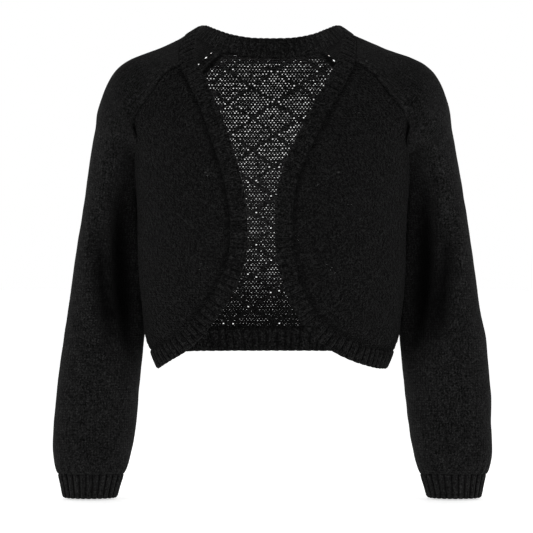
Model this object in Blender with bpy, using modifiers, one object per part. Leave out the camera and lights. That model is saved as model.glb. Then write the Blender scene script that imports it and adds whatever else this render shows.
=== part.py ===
"""A cropped, open-front knit cardigan in the hollow form it has when it is worn.

Two fronts with rounded corners, a back, two raglan sleeves, two ribbed cuffs, one ribbed band that
runs from hem corner to hem corner round the back of the neck, and a ribbed hem across the back.
Every piece is a knit wall lofted through rows worked out from the tables below.

Tables are in millimetres. +X is the wearer's left, -Y the wearer's front and +Z up. A "drop" is the
distance down from the highest point of the shoulders, where the origin lies.
"""

import math

import bmesh
import bpy
import numpy as np

COLLECTION = "open_front_cardigan"

# The knit's own sizes.
WALL = 2.0
RIB_VALLEY = 1.7
RIB_CREST = 2.9
BAND_WIDTH = 22.6
BAND_WIDTH_AT_HEM = 25.0
BAND_RIB_PITCH = 9.8
CUFF_RIBS = 26
HEM_RIB_PITCH = 11.5
# Where the edge of a rib's broad crest lies, as shares of the way from one narrow groove to the next.
RIB_STEPS = (0.0, 0.2, 0.8)
GROOVE_SHARE = 0.15
SEAM_GAP = 0.3
NECK_GAP = 0.45

# How round the body's level section is: 2 is an ellipse and more is squarer.
ROUNDNESS = 2.2
UNDERARM_DROP = 165.0
HEM_TOP_DROP = 430.0
HEM_DROP = 455.0
HEM_TOP_DROP_AT_BACK = 403.5
HEM_DROP_AT_BACK = 434.0
NECK_DROP_AT_BACK = 36.5
LEFT_RAGLAN_SHIFT = 12.0
# How much further out the left sleeve's outer line hangs, between the shoulder and the forearm.
LEFT_SLEEVE_REACH = 5.0

# How finely each piece is lofted.
RAGLAN_STATIONS = (0.0, 0.1, 0.22, 0.35, 0.48, 0.6, 0.71, 0.8, 0.87, 0.92, 0.96, 0.985, 1.0)
FRONT_ROWS = 24
BACK_ROWS = 16
FRONT_COLUMNS = 9
BACK_COLUMNS = 16
SLEEVE_COLUMNS = 18
BAND_ROWS = 1
FINE = 80
# A narrow strip beside each seam keeps the wall's edge square to the surface there.
SEAM_STRIP = 1.2
# The share of a raglan seam over which rows still follow the line of the neck.
NECK_SHARE = 0.3
# The first share of a raglan seam is left out at the narrow tip of a front.
FRONT_TIP = 0.06
# The share of the back's half, from its middle, over which the hem stays level.
LEVEL_HEM_SHARE = 0.45
# The last share of the hem's depth in which its ribs stand out fully.
RIBS_START = 0.3


def monotone(knots, values, at):
    """A smooth curve through the knots that never overshoots them."""
    step = np.diff(knots)
    rise = np.diff(values) / step
    slope = np.empty(len(knots))
    slope[0] = rise[0]
    slope[-1] = rise[-1]
    product = rise[:-1] * rise[1:]
    total = np.where(product > 0, rise[:-1] + rise[1:], 1.0)
    slope[1:-1] = np.where(product > 0, 2 * product / total, 0.0)
    at = np.clip(at, knots[0], knots[-1])
    index = np.clip(np.searchsorted(knots, at) - 1, 0, len(step) - 1)
    t = (at - knots[index]) / step[index]
    first = (1 + 2 * t) * (1 - t) ** 2 * values[index] + t * (1 - t) ** 2 * step[index] * slope[index]
    last = t * t * (3 - 2 * t) * values[index + 1] + t * t * (t - 1) * step[index] * slope[index + 1]
    return first + last


class Table:
    """Rows of sizes under named columns, read smoothly between the rows by the first column."""

    def __init__(self, columns, *rows):
        self.columns = columns.split()
        self.rows = np.array(rows, float)

    def column(self, name):
        return self.rows[:, self.columns.index(name)]

    def at(self, name, value):
        return monotone(self.rows[:, 0], self.column(name), value)


BODY = Table(
    "drop half_width front_depth back_depth",
    (25, 189, 38, 73),
    (37, 189, 53, 88),
    (50, 190, 63, 95),
    (70, 190, 76, 101),
    (100, 192, 90, 106),
    (125, 195, 98, 109),
    (145, 191, 103, 110),
    (165, 185, 107, 110),
    (205, 182, 111, 108),
    (260, 178.5, 112, 101),
    (324, 177, 110, 93),
    (380, 172.5, 106, 87),
    (411, 168.5, 103, 84),
    (430, 162, 100, 82),
    (455, 152, 96, 80),
)

# The raglan seams and the ridge between them, from the neck (0) to the underarm (1).
YOKE = Table(
    "along front_x front_drop back_x back_drop ridge_x ridge_y ridge_drop front_bulge back_bulge",
    (0.00, 122.5, 48, 66, 29, 114, 10, 12, 0.36, 0.36),
    (0.25, 143.0, 70, 100, 62, 150, 8, 29, 0.38, 0.38),
    (0.50, 161.0, 97, 131, 92, 187, 6, 46, 0.41, 0.40),
    (0.75, 178.0, 121, 163, 118, 213, 5, 68, 0.46, 0.44),
    (0.90, 185.5, 148, 180, 145, 225, 4, 96, 0.66, 0.60),
    (1.00, 185.4, 165, 185.4, 165, 231, 4, 115, 1.02, 1.02),
)
# Where, along each raglan seam, the fold between sleeve and body begins to deepen.
FOLD_START = {"front": 0.4, "back": 0.45}

# The sleeve's rings below the underarm: inner and outer line, and half the ring's depth.
SLEEVE = Table(
    "ring inner_x inner_y inner_drop outer_x outer_y outer_drop half_depth",
    (0.0, 185.4, 0, 165, 231, 4, 115, 52),
    (0.5, 185.0, 12, 186, 238, 10, 150, 53),
    (1.0, 181.5, 26, 206, 244, 15, 184, 54),
    (2.0, 176.5, 38, 240, 251.5, 19, 232, 55),
    (3.0, 172.5, 41, 290, 259.5, 23, 287, 54.5),
    (4.0, 170.5, 38, 345, 268, 23, 345, 53.5),
    (5.0, 169.5, 34, 392, 275.5, 20, 392, 52),
    (6.0, 172.0, 28, 432, 280, 15, 432, 50.5),
    (7.0, 176.5, 18, 478, 285.5, 8, 478, 49),
    (8.0, 180.0, 8, 520, 290, 1, 520, 48),
    (9.0, 184.5, 0, 555, 293, -5, 555, 46),
    (10.0, 189.5, -5, 576, 291, -8, 576, 43),
    (11.0, 193.6, -8, 589, 287.2, -10, 589, 37),
    (11.5, 196.0, -9, 594, 284.6, -10, 594, 33),
)
SLEEVE_RINGS = (0.5, 1, 1.5, 2, 2.6, 3.3, 4, 4.8, 5.6, 6.4, 7.2, 8, 8.8, 9.4, 10, 10.6, 11.1, 11.5)

CUFF = Table(
    "drop inner_x outer_x half_depth",
    (594.5, 196.6, 284.0, 32),
    (600.0, 199.0, 281.6, 30.5),
    (609.0, 202.2, 279.4, 28.5),
    (618.0, 204.4, 278.0, 27.2),
    (626.0, 206.4, 276.4, 26.5),
)
CUFF_Y = -9.5
CUFF_DROPS = (594.5, 598.5, 611.0, 626.0)
# The middle line of the sleeve and cuff below the underarm, used to tell inside from outside.
SLEEVE_MIDDLE = Table("drop x", (165, 210), (345, 219), (555, 239), (626, 241))
SLEEVE_MIDDLE_Y = 10.0

# The band's free edge and its seam round the neck, from the middle of the back to the front.
NECK_RIGHT = Table(
    "station edge_x edge_y edge_drop seam_x seam_y seam_drop",
    (0, 0, 80, 9.8, 0, 87, 36.5),
    (1, 30, 77, 9, 34, 83.5, 34.8),
    (2, 57, 66, 5, 66, 74, 29),
    (3, 76, 47, 0, 91, 56, 19),
    (4, 90, 22, -3, 109, 27, 11),
    (5, 99, -6, 4, 118, -4, 15),
    (6, 102, -30, 20, 122, -27, 30),
)
NECK_LEFT = Table(
    "station edge_x edge_y edge_drop seam_x seam_y seam_drop",
    (0, 0, 80, 9.8, 0, 87, 36.5),
    (1, 30, 77, 9, 34, 83.5, 34.8),
    (2, 56, 66, 5, 66, 74, 29),
    (3, 73, 47, 0, 88, 56, 19),
    (4, 87, 22, -3, 104, 27, 11),
    (5, 93, -6, 4, 111, -4, 15),
    (6, 94, -28, 20, 112, -26, 30),
)
BACK_RAGLAN_STATION = 2
FRONT_RAGLAN_STATION = 7

# The band's free edge down each front, from the front raglan to the side seam at the hem.
OPENING_RIGHT = Table(
    "drop x",
    (47, -101),
    (68, -91),
    (104, -74),
    (138, -61),
    (183, -46.5),
    (221, -37),
    (260, -32.5),
    (300, -33.5),
    (324, -39),
    (346, -48),
    (369, -60),
    (390, -75),
    (411, -92),
    (430, -113),
    (443, -134),
)
OPENING_LEFT = Table(
    "drop x",
    (42, 89),
    (70, 76),
    (95, 62),
    (133, 42),
    (163, 27),
    (200, 12),
    (237, 5),
    (275, 4),
    (308, 6.5),
    (336, 13),
    (364, 23),
    (388, 36),
    (408, 53),
    (429, 78),
    (443, 106),
    (451, 130),
)

COLOURS = {
    "knit": (0.0125, 0.0125, 0.0135),
    "rib": (0.0110, 0.0110, 0.0120),
}


def ease(low, high, value):
    """0 below low, 1 above high, and smooth between."""
    t = np.clip((np.asarray(value, float) - low) / (high - low), 0.0, 1.0)
    return t * t * (3 - 2 * t)


def lengths(points):
    """The distance along a line of points, at each point."""
    steps = np.linalg.norm(np.diff(points, axis=0), axis=1)
    return np.concatenate([[0.0], np.cumsum(steps)])


def spread(points, fractions):
    """The places at these fractions of a line's length."""
    along = lengths(points)
    at = np.asarray(fractions) * along[-1]
    return np.stack([np.interp(at, along, points[:, axis]) for axis in range(3)], axis=1)


def strips(line, columns, at_start=True, at_end=True):
    """Even fractions of a line, with a narrow first or last step where a seam lies."""
    narrow = SEAM_STRIP / lengths(line)[-1]
    even = np.linspace(0, 1, columns + 1)
    first = [narrow] if at_start else []
    last = [1 - narrow] if at_end else []
    return np.concatenate([even[:1], first, even[1:-1], last, even[-1:]])


def through(points, per_span):
    """A smooth line through the points, with this many steps in each span."""
    points = np.asarray(points, float)
    knots = lengths(points)
    slopes = np.gradient(points, knots, axis=0)
    made = []
    for index in range(len(points) - 1):
        t = np.linspace(0, 1, per_span, endpoint=False)[:, None]
        span = knots[index + 1] - knots[index]
        start = (1 + 2 * t) * (1 - t) ** 2 * points[index] + t * (1 - t) ** 2 * span * slopes[index]
        finish = t * t * (3 - 2 * t) * points[index + 1] + t * t * (t - 1) * span * slopes[index + 1]
        made.append(start + finish)
    return np.vstack(made + [points[-1:]])


def body_y(x, drop, depth):
    """How far the body's section stands before (front_depth) or behind (back_depth) its middle."""
    ratio = np.clip(np.abs(x) / BODY.at("half_width", drop), 0, 1)
    reach = BODY.at(depth, drop) * (1 - ratio**ROUNDNESS) ** (1 / ROUNDNESS)
    return -reach if depth == "front_depth" else reach


def section_angle(x, drop):
    """The angle from the side (0) to the middle (a quarter turn) at which the section reaches x."""
    ratio = np.clip(np.abs(x) / BODY.at("half_width", drop), 0, 1)
    return np.arccos(ratio ** (ROUNDNESS / 2))


def section_path(side, start, end, depth):
    """A path over the body's surface on one side, between two (x, drop) places."""
    share = np.linspace(0, 1, FINE)
    drops = start[1] + share * (end[1] - start[1])
    start_angle = section_angle(*start)
    angles = start_angle + share * (section_angle(*end) - start_angle)
    x = BODY.at("half_width", drops) * np.cos(angles) ** (2 / ROUNDNESS)
    y = body_y(x, drops, depth)
    return np.stack([side * x, y, -drops], axis=1)


def opening(side):
    return OPENING_LEFT if side > 0 else OPENING_RIGHT


def band_lines(side):
    """The band's free edge and its seam on one side, as fine lines from mid back to the hem."""
    neck = NECK_LEFT if side > 0 else NECK_RIGHT
    edge = [
        (side * x, y, -drop)
        for x, y, drop in zip(neck.column("edge_x"), neck.column("edge_y"), neck.column("edge_drop"))
    ]
    seam = [
        (side * x, y, -drop)
        for x, y, drop in zip(neck.column("seam_x"), neck.column("seam_y"), neck.column("seam_drop"))
    ]
    flat = np.stack([opening(side).column("x"), -opening(side).column("drop")], axis=1)
    flat = np.vstack([flat, [side * BODY.at("half_width", HEM_DROP), -HEM_DROP]])
    slope = np.gradient(flat, lengths(flat), axis=0)
    slope /= np.linalg.norm(slope, axis=1)[:, None]
    widths = np.interp(-flat[:, 1], (HEM_TOP_DROP_AT_BACK, HEM_DROP), (BAND_WIDTH, BAND_WIDTH_AT_HEM))
    across = np.stack([-side * slope[:, 1], side * slope[:, 0]], axis=1) * widths[:, None]
    for (x, z), (step_x, step_z) in zip(flat[:-1], across[:-1]):
        edge.append((x, body_y(x, -z, "front_depth"), z))
        seam.append((x + step_x, body_y(x + step_x, -z - step_z, "front_depth"), z + step_z))
    edge.append((side * BODY.at("half_width", HEM_DROP), 0.0, -HEM_DROP))
    seam.append((side * BODY.at("half_width", HEM_TOP_DROP), 0.0, -HEM_TOP_DROP))
    return on_body(through(edge, FINE)), on_body(through(seam, FINE))


def on_body(line):
    """The line with its front stretch laid exactly on the body's section."""
    start = (FRONT_RAGLAN_STATION + 1) * FINE
    front = line[start:]
    front[:, 1] = body_y(front[:, 0], -front[:, 2], "front_depth")
    blend = ease(FRONT_RAGLAN_STATION * FINE, start, np.arange(start))
    laid = body_y(line[:start, 0], np.maximum(-line[:start, 2], 37), "front_depth")
    line[:start, 1] += blend * (laid - line[:start, 1])
    return line


def outside_seam(side, gap):
    """The seam line of the band, moved off the band by a gap."""
    edge, seam = band_lines(side)
    outward = seam - edge
    outward /= np.linalg.norm(outward, axis=1)[:, None]
    return seam + outward * gap


def raglan_point(side, along, face):
    """A point of a raglan seam, on the body's section."""
    x = YOKE.at(face + "_x", along)
    if side > 0 and face == "front":
        x = x - LEFT_RAGLAN_SHIFT * (1 - along)
    drop = YOKE.at(face + "_drop", along)
    return np.array([side * x, body_y(x, drop, face + "_depth"), -drop])


def neck_fade(along):
    """How far a row near the neck takes on the line of the neck's seam."""
    return np.clip(1 - along / NECK_SHARE, 0, 1) ** 2


def raglan_corner(side, face):
    """Where a raglan seam meets the band."""
    station = FRONT_RAGLAN_STATION if face == "front" else BACK_RAGLAN_STATION
    return outside_seam(side, NECK_GAP)[station * FINE]


def raglan_seam(side, along, face):
    """A point of a raglan seam that starts exactly at the band."""
    shift = raglan_corner(side, face) - raglan_point(side, 0.0, face)
    return raglan_point(side, along, face) + neck_fade(along) * shift


def surface_heading(side, along, face):
    """The way across the raglan seam over the body's surface, towards the shoulder."""
    here = raglan_point(side, along, face)
    x = abs(here[0])
    drop = -here[2]
    step = 0.5
    steepest = 4.0
    stride = 0.05
    depth = face + "_depth"
    slope_x = float(body_y(x + step, drop, depth) - body_y(x - step, drop, depth)) / (2 * step)
    slope_x = side * np.clip(slope_x, -steepest, steepest)
    slope_z = float(body_y(x, drop - step, depth) - body_y(x, drop + step, depth)) / (2 * step)
    normal = np.array([slope_x, -1.0, slope_z])
    ahead = raglan_point(side, min(along + stride, 1), face)
    further = ahead - raglan_point(side, along - stride, face)
    heading = np.cross(normal, further)
    ridge = yoke_ridge(side, along)
    if np.dot(heading, ridge - here) < 0:
        heading = -heading
    return heading / np.linalg.norm(heading)


def yoke_ridge(side, along):
    x = YOKE.at("ridge_x", along)
    if side > 0:
        x = x + LEFT_SLEEVE_REACH * ease(0.15, 0.75, along)
    return np.array([side * x, YOKE.at("ridge_y", along), -YOKE.at("ridge_drop", along)])


def bezier(points):
    """A cubic curve from its four control points."""
    t = np.linspace(0, 1, FINE)[:, None]
    weights = ((1 - t) ** 3, 3 * (1 - t) ** 2 * t, 3 * (1 - t) * t * t, t**3)
    return sum(weight * point for weight, point in zip(weights, points))


def yoke_arc(side, along):
    """The sleeve's row over the shoulder, from the front raglan seam to the back one."""
    ridge = yoke_ridge(side, along)
    halves = []
    for face, forward in (("front", -1.0), ("back", 1.0)):
        start = raglan_point(side, along, face)
        away = np.array([0.0, forward, 0.0])
        folded = float(ease(FOLD_START[face], 1.0, along))
        heading = (1 - folded) * surface_heading(side, along, face) + folded * away
        heading /= np.linalg.norm(heading)
        handle = YOKE.at(face + "_bulge", along) * np.linalg.norm(ridge - start)
        halves.append(bezier((start, start + heading * handle, ridge + away * handle, ridge)))
    return np.vstack([halves[0], halves[1][-2::-1]])


def sleeve_row(side, along, fractions):
    """Points of one row of the sleeve's yoke."""
    row = spread(yoke_arc(side, along), fractions)
    seam = outside_seam(side, NECK_GAP)
    neck = seam[BACK_RAGLAN_STATION * FINE : FRONT_RAGLAN_STATION * FINE + 1][::-1]
    shift = spread(neck, fractions) - spread(yoke_arc(side, 0.0), fractions)
    return row + neck_fade(along) * shift


def tube_ring(inner, outer, half_depth, fractions):
    """Points of one closed ring through its inner and outer point, from the inner one round the front."""
    reach = np.array([0.0, 4 / 3 * float(half_depth), 0.0])
    before = bezier((inner, inner - reach, outer - reach, outer))
    behind = bezier((outer, outer + reach, inner + reach, inner))
    return spread(np.vstack([before, behind[1:]]), fractions)


def sleeve_ring(side, ring, fractions):
    """Points of one closed ring of the sleeve below the underarm."""
    ends = []
    for end in ("inner", "outer"):
        x, y, drop = (SLEEVE.at(end + axis, ring) for axis in ("_x", "_y", "_drop"))
        if side > 0 and end == "outer":
            x = x + LEFT_SLEEVE_REACH * (1 - ease(5.0, 8.5, ring))
        ends.append(np.array([side * x, y, -drop]))
    return tube_ring(ends[0], ends[1], SLEEVE.at("half_depth", ring), fractions)


def grid_normals(grid, closed):
    """Unit normals of a grid of points, before their side is chosen."""
    rows = np.gradient(grid, axis=0)
    if closed:
        columns = np.roll(grid, -1, axis=1) - np.roll(grid, 1, axis=1)
    else:
        columns = np.gradient(grid, axis=1)
    normals = np.cross(rows, columns)
    return normals / np.linalg.norm(normals, axis=2)[:, :, None]


def material(name):
    made = bpy.data.materials.get(name)
    if made is None:
        made = bpy.data.materials.new(name)
        made.use_nodes = True
        shader = made.node_tree.nodes["Principled BSDF"]
        shader.inputs["Base Color"].default_value = (*COLOURS[name], 1.0)
        shader.inputs["Roughness"].default_value = 0.92
        shader.inputs["Metallic"].default_value = 0.0
    return made


def knit_object(name, mesh, finish, outward):
    """An object whose faces all point the way the garment's outside does."""
    for face in mesh.faces:
        face.smooth = True
    mesh.normal_update()
    if sum(face.normal.dot(outward(face.calc_center_median())) for face in mesh.faces) < 0:
        bmesh.ops.reverse_faces(mesh, faces=mesh.faces)
    data = bpy.data.meshes.new(name)
    mesh.to_mesh(data)
    mesh.free()
    data.materials.append(material(finish))
    made = bpy.data.objects.new(name, data)
    bpy.data.collections[COLLECTION].objects.link(made)
    return made


def loft(rows, closed=False):
    """A mesh through rows of points, each with the same number of them."""
    mesh = bmesh.new()
    lines = [[mesh.verts.new(point * 0.001) for point in row] for row in rows]
    skin(mesh, lines, closed)
    return mesh


def skin(mesh, lines, closed):
    """Four-sided faces between neighbouring lines of vertices."""
    for above, below in zip(lines, lines[1:]):
        count = len(above)
        for index in range(count if closed else count - 1):
            after = (index + 1) % count
            corners = [above[index], above[after], below[after], below[index]]
            if len(set(corners)) == 4:
                mesh.faces.new(corners)
            elif len(set(corners)) == 3:
                mesh.faces.new(list(dict.fromkeys(corners)))


def wall(piece):
    """A plain knit wall that lies inside its outer surface."""
    solid = piece.modifiers.new("wall", "SOLIDIFY")
    solid.thickness = WALL * 0.001
    solid.offset = -1.0
    solid.use_rim = True


def ribbed_wall(piece, heights):
    """A knit wall with a plain inside, whose outer points rise and fall with the ribs."""
    group = piece.vertex_groups.new(name="rib")
    for index, height in enumerate(heights):
        group.add([index], height / RIB_CREST, "REPLACE")
    solid = piece.modifiers.new("ribs", "SOLIDIFY")
    solid.thickness = RIB_CREST * 0.001
    solid.offset = 1.0
    solid.use_rim = True
    solid.vertex_group = "rib"


def rib_places(count):
    """Shares of the way along a ribbed strip at which its grooves and the edges of its crests lie."""
    return np.append((np.arange(count)[:, None] + np.array(RIB_STEPS)).ravel() / count, 1.0)


def rib_heights(places, count, rows, flat_rows=()):
    """The height of each point of a ribbed grid, with these places along each of its rows."""
    phase = places * count % 1
    grooves = (phase < GROOVE_SHARE) | (phase > 1 - GROOVE_SHARE)
    ribbed = np.where(grooves, RIB_VALLEY, RIB_CREST)
    plain = np.full(len(places), WALL)
    return np.concatenate([plain if row in flat_rows else ribbed for row in range(rows)])


def from_axis(centre):
    """Away from the body's upright axis."""
    return (centre[0], centre[1], 0.0)


def front_row(side, start, end):
    """One row of a front, from its raglan or side seam to the band."""
    line = section_path(side, (start[0], -start[2]), (end[0], -end[2]), "front_depth")
    fractions = strips(line, FRONT_COLUMNS, at_end=False)
    row = spread(line, fractions)
    row += (1 - fractions)[:, None] * (start - line[0]) + fractions[:, None] * (end - line[-1])
    inward = row[1] - row[0]
    row[0] += inward / np.linalg.norm(inward) * SEAM_GAP / 2
    return row


def make_front(side):
    """One front, from the raglan seam and the side seam to the band."""
    seam = outside_seam(side, NECK_GAP)[FRONT_RAGLAN_STATION * FINE :]
    at_underarm = np.interp(UNDERARM_DROP, -seam[:, 2], lengths(seam)) / lengths(seam)[-1]
    rows = []
    for along in np.maximum(RAGLAN_STATIONS, FRONT_TIP):
        end = spread(seam, [along * at_underarm])[0]
        rows.append(front_row(side, raglan_seam(side, along, "front"), end))
    for share in np.linspace(0, 1, FRONT_ROWS + 1)[1:] * (1 - FRONT_TIP / 3):
        drop = UNDERARM_DROP + share * (HEM_TOP_DROP - UNDERARM_DROP)
        start = np.array([side * BODY.at("half_width", drop), 0.0, -drop])
        end = spread(seam, [at_underarm + share * (1 - at_underarm)])[0]
        rows.append(front_row(side, start, end))
    name = "front_left" if side > 0 else "front_right"
    wall(knit_object(name, loft(rows), "knit", from_axis))


def back_half_row(side, edge, middle_drop, shape):
    """One row of the back's half, from the middle to its raglan or side seam."""
    share = np.linspace(0, 1, FINE)
    edge_x = abs(edge[0])
    edge_angle = section_angle(edge_x, -edge[2])
    angles = math.pi / 2 + share * (edge_angle - math.pi / 2)
    drops = middle_drop + (-edge[2] - middle_drop) * shape(share)
    x = BODY.at("half_width", drops) * np.cos(angles) ** (2 / ROUNDNESS)
    y = body_y(x, drops, "back_depth")
    return np.stack([side * x, y, -drops], axis=1)


def back_row(edges, middle_drop, shape, places=None):
    """One whole row of the back, between its two edge points."""
    right = back_half_row(-1, edges[-1], middle_drop, shape)
    left = back_half_row(1, edges[1], middle_drop, shape)
    line = np.vstack([right[::-1], left[1:]])
    fractions = strips(line, BACK_COLUMNS) if places is None else places
    row = spread(line, fractions)
    ends = (edges[-1] - row[0], edges[1] - row[-1])
    fall = fractions[:, None]
    row += np.clip(1 - 2 * fall, 0, 1) * ends[0] + np.clip(2 * fall - 1, 0, 1) * ends[1]
    for end, neighbour in ((0, 1), (-1, -2)):
        inward = row[neighbour] - row[end]
        row[end] += inward / np.linalg.norm(inward) * SEAM_GAP / 2
    return row


def hem_shape(share):
    """Level across the back, then down to the side seams."""
    return ease(LEVEL_HEM_SHARE, 1.0, share)


def make_back():
    """The back, from the neck and the raglan seams to the ribbed hem."""
    rows = []
    necks = [outside_seam(side, NECK_GAP)[: BACK_RAGLAN_STATION * FINE + 1] for side in (-1, 1)]
    neck_line = np.vstack([necks[0][::-1], necks[1][1:]])
    neck = spread(neck_line, strips(neck_line, BACK_COLUMNS))
    first = None
    for along in RAGLAN_STATIONS:
        edges = {side: raglan_seam(side, along, "back") for side in (-1, 1)}
        middle = NECK_DROP_AT_BACK + (UNDERARM_DROP - NECK_DROP_AT_BACK) * along
        row = back_row(edges, middle, np.square)
        first = row if first is None else first
        shift = neck - first
        shift[0] = shift[-1] = 0.0
        rows.append(row + neck_fade(along) * shift)
    for low in np.linspace(0, 1, BACK_ROWS + 1)[1:]:
        drop = UNDERARM_DROP + low * (HEM_TOP_DROP - UNDERARM_DROP)
        middle = UNDERARM_DROP + low * (HEM_TOP_DROP_AT_BACK - UNDERARM_DROP)
        half = float(BODY.at("half_width", drop))
        edges = {side: np.array([side * half, 0.0, -drop]) for side in (-1, 1)}
        rows.append(back_row(edges, middle, hem_shape))
    wall(knit_object("back", loft(rows), "knit", from_axis))


def hem_line(drop, middle_drop, places=None):
    """A line across the back's lower edge, from side seam to side seam."""
    half = float(BODY.at("half_width", drop))
    edges = {side: np.array([side * half, 0.0, -drop]) for side in (-1, 1)}
    return back_row(edges, middle_drop, hem_shape, places)


def make_hem():
    """The ribbed hem across the back, between the side seams."""
    reach = HEM_DROP - HEM_TOP_DROP
    reach_at_back = HEM_DROP_AT_BACK - HEM_TOP_DROP_AT_BACK
    back_edge = hem_line(HEM_TOP_DROP, HEM_TOP_DROP_AT_BACK)
    width = lengths(back_edge)[-1]
    count = round(width / HEM_RIB_PITCH)
    narrow = SEAM_STRIP / width
    places = np.concatenate([[0.0, narrow], rib_places(count)[1:-1], [1 - narrow, 1.0]])
    rows = [spread(back_edge, places) - (0.0, 0.0, NECK_GAP)]
    for share in (RIBS_START, 1.0):
        drop = HEM_TOP_DROP + share * reach
        rows.append(hem_line(drop, HEM_TOP_DROP_AT_BACK + share * reach_at_back, places))
    grid = inset(np.array(rows), False)
    piece = knit_object("back_hem", loft(grid), "rib", from_axis)
    ribbed_wall(piece, rib_heights(places, count, len(rows), flat_rows=(0,)))


def inset(grid, closed):
    """The grid moved inwards by the wall's thickness."""
    normals = grid_normals(grid, closed)
    middle = grid.mean(axis=(0, 1)) if closed else np.array([0.0, 0.0, grid[:, :, 2].mean()])
    outward = grid - middle
    outward[:, :, 2] = 0.0
    if np.einsum("ijk,ijk->", normals, outward) < 0:
        normals = -normals
    return grid - normals * WALL


def make_sleeve(side):
    """One raglan sleeve, open along the raglan seams and closed below the underarm."""
    fractions = np.linspace(0, 1, SLEEVE_COLUMNS + 1)
    mesh = bmesh.new()
    lines = []
    for along in RAGLAN_STATIONS:
        row = sleeve_row(side, along, fractions)
        for end, face in ((0, "front"), (-1, "back")):
            ridge = yoke_ridge(side, along)
            away = ridge - row[end]
            row[end] = raglan_seam(side, along, face) + away / np.linalg.norm(away) * NECK_GAP
        if along == 1.0:
            row = row[:-1]
        line = [mesh.verts.new(point * 0.001) for point in row]
        lines.append(line + line[:1] if along == 1.0 else line)
    for ring in SLEEVE_RINGS:
        row = sleeve_ring(side, ring, fractions)[:-1]
        line = [mesh.verts.new(point * 0.001) for point in row]
        lines.append(line + line[:1])
    skin(mesh, lines, False)
    mesh.normal_update()
    name = "sleeve_left" if side > 0 else "sleeve_right"
    wall(knit_object(name, mesh, "knit", lambda centre: from_sleeve(side, centre)))


def from_sleeve(side, centre):
    """Away from the sleeve's own middle line."""
    drop = -centre[2] * 1000
    if drop < UNDERARM_DROP:
        return (side, 0.0, 3.0)
    middle_x = side * SLEEVE_MIDDLE.at("x", drop)
    return (centre[0] - middle_x * 0.001, centre[1] - SLEEVE_MIDDLE_Y * 0.001, 0.0)


def make_cuff(side):
    """One ribbed cuff."""
    places = rib_places(CUFF_RIBS)
    rows = []
    for drop in CUFF_DROPS:
        inner = np.array([side * CUFF.at("inner_x", drop), CUFF_Y, -drop])
        outer = np.array([side * CUFF.at("outer_x", drop), CUFF_Y, -drop])
        ring = tube_ring(inner, outer, CUFF.at("half_depth", drop), places)
        rows.append(ring[:-1])
    grid = inset(np.array(rows), True)
    name = "cuff_left" if side > 0 else "cuff_right"
    piece = knit_object(name, loft(grid, closed=True), "rib", lambda centre: from_sleeve(side, centre))
    ribbed_wall(piece, rib_heights(places[:-1], CUFF_RIBS, len(rows), flat_rows=(0,)))


def make_band():
    """The ribbed band, from one hem corner up round the neck and down to the other."""
    edges, seams = zip(*(band_lines(side) for side in (-1, 1)))
    edge = np.vstack([edges[0][::-1], edges[1][1:]])
    seam = np.vstack([seams[0][::-1], seams[1][1:]])
    along = lengths(seam)
    count = round(along[-1] / BAND_RIB_PITCH)
    places = rib_places(count)
    at = SEAM_GAP / 2 + places * (along[-1] - SEAM_GAP)
    rows = []
    for share in np.linspace(0, 1, BAND_ROWS + 1):
        line = seam + share * (edge - seam)
        start = (len(line) - 1) // 2
        front = np.abs(np.arange(len(line)) - start) >= (FRONT_RAGLAN_STATION + 1) * FINE
        line[front, 1] = body_y(line[front, 0], -line[front, 2], "front_depth")
        rows.append(np.stack([np.interp(at, along, line[:, axis]) for axis in range(3)], axis=1))
    grid = np.array(rows)
    normals = grid_normals(grid, False)
    front_middle = len(places) // 6
    if normals[1, front_middle, 1] > 0:
        normals = -normals
    grid = grid - normals * WALL
    piece = knit_object("front_band", loft(grid), "rib", band_outward)
    ribbed_wall(piece, rib_heights(places, count, BAND_ROWS + 1))


def band_outward(centre):
    """Away from the middle of the chest, below the shoulders."""
    chest_drop = 0.08
    return (centre[0], centre[1], max(centre[2] + chest_drop, 0.0))


def clear_scene():
    for old in list(bpy.data.objects):
        bpy.data.objects.remove(old, do_unlink=True)
    collection = bpy.data.collections.new(COLLECTION)
    bpy.context.scene.collection.children.link(collection)


def main():
    clear_scene()
    make_back()
    make_hem()
    make_band()
    for side in (-1, 1):
        make_front(side)
        make_sleeve(side)
        make_cuff(side)


main()
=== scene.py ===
"""A black cropped open-front knit cardigan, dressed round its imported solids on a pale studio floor.

Tables are in millimetres and a "drop" is the distance down from the highest point of the shoulders.
+X is the wearer's left and -Y the wearer's front, as in the solids.
"""

import math

import bmesh
import bpy
import numpy as np
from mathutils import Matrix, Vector


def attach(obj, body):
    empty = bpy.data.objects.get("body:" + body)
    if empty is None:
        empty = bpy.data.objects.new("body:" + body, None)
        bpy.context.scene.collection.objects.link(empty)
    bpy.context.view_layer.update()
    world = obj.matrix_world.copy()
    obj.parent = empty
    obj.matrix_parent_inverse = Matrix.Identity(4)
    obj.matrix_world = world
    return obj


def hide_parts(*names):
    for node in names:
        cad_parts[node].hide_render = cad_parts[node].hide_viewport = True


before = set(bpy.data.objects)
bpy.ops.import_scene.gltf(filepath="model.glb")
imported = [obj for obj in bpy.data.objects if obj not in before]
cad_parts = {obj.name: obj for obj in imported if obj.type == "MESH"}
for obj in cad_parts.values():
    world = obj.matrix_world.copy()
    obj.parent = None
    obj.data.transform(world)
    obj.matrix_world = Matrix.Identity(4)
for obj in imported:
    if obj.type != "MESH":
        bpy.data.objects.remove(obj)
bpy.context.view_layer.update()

# The knit's own sizes.
WALL = 1.6
LACE_WALL = 1.0
BAND_WIDTH = 22.6
BAND_WIDTH_AT_HEM = 25.0
BAND_RIB_PITCH = 9.8
CUFF_RIBS = 26
HEM_RIB_PITCH = 11.5
# How far each panel reaches in under the band.
TUCK = 2.6
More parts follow.
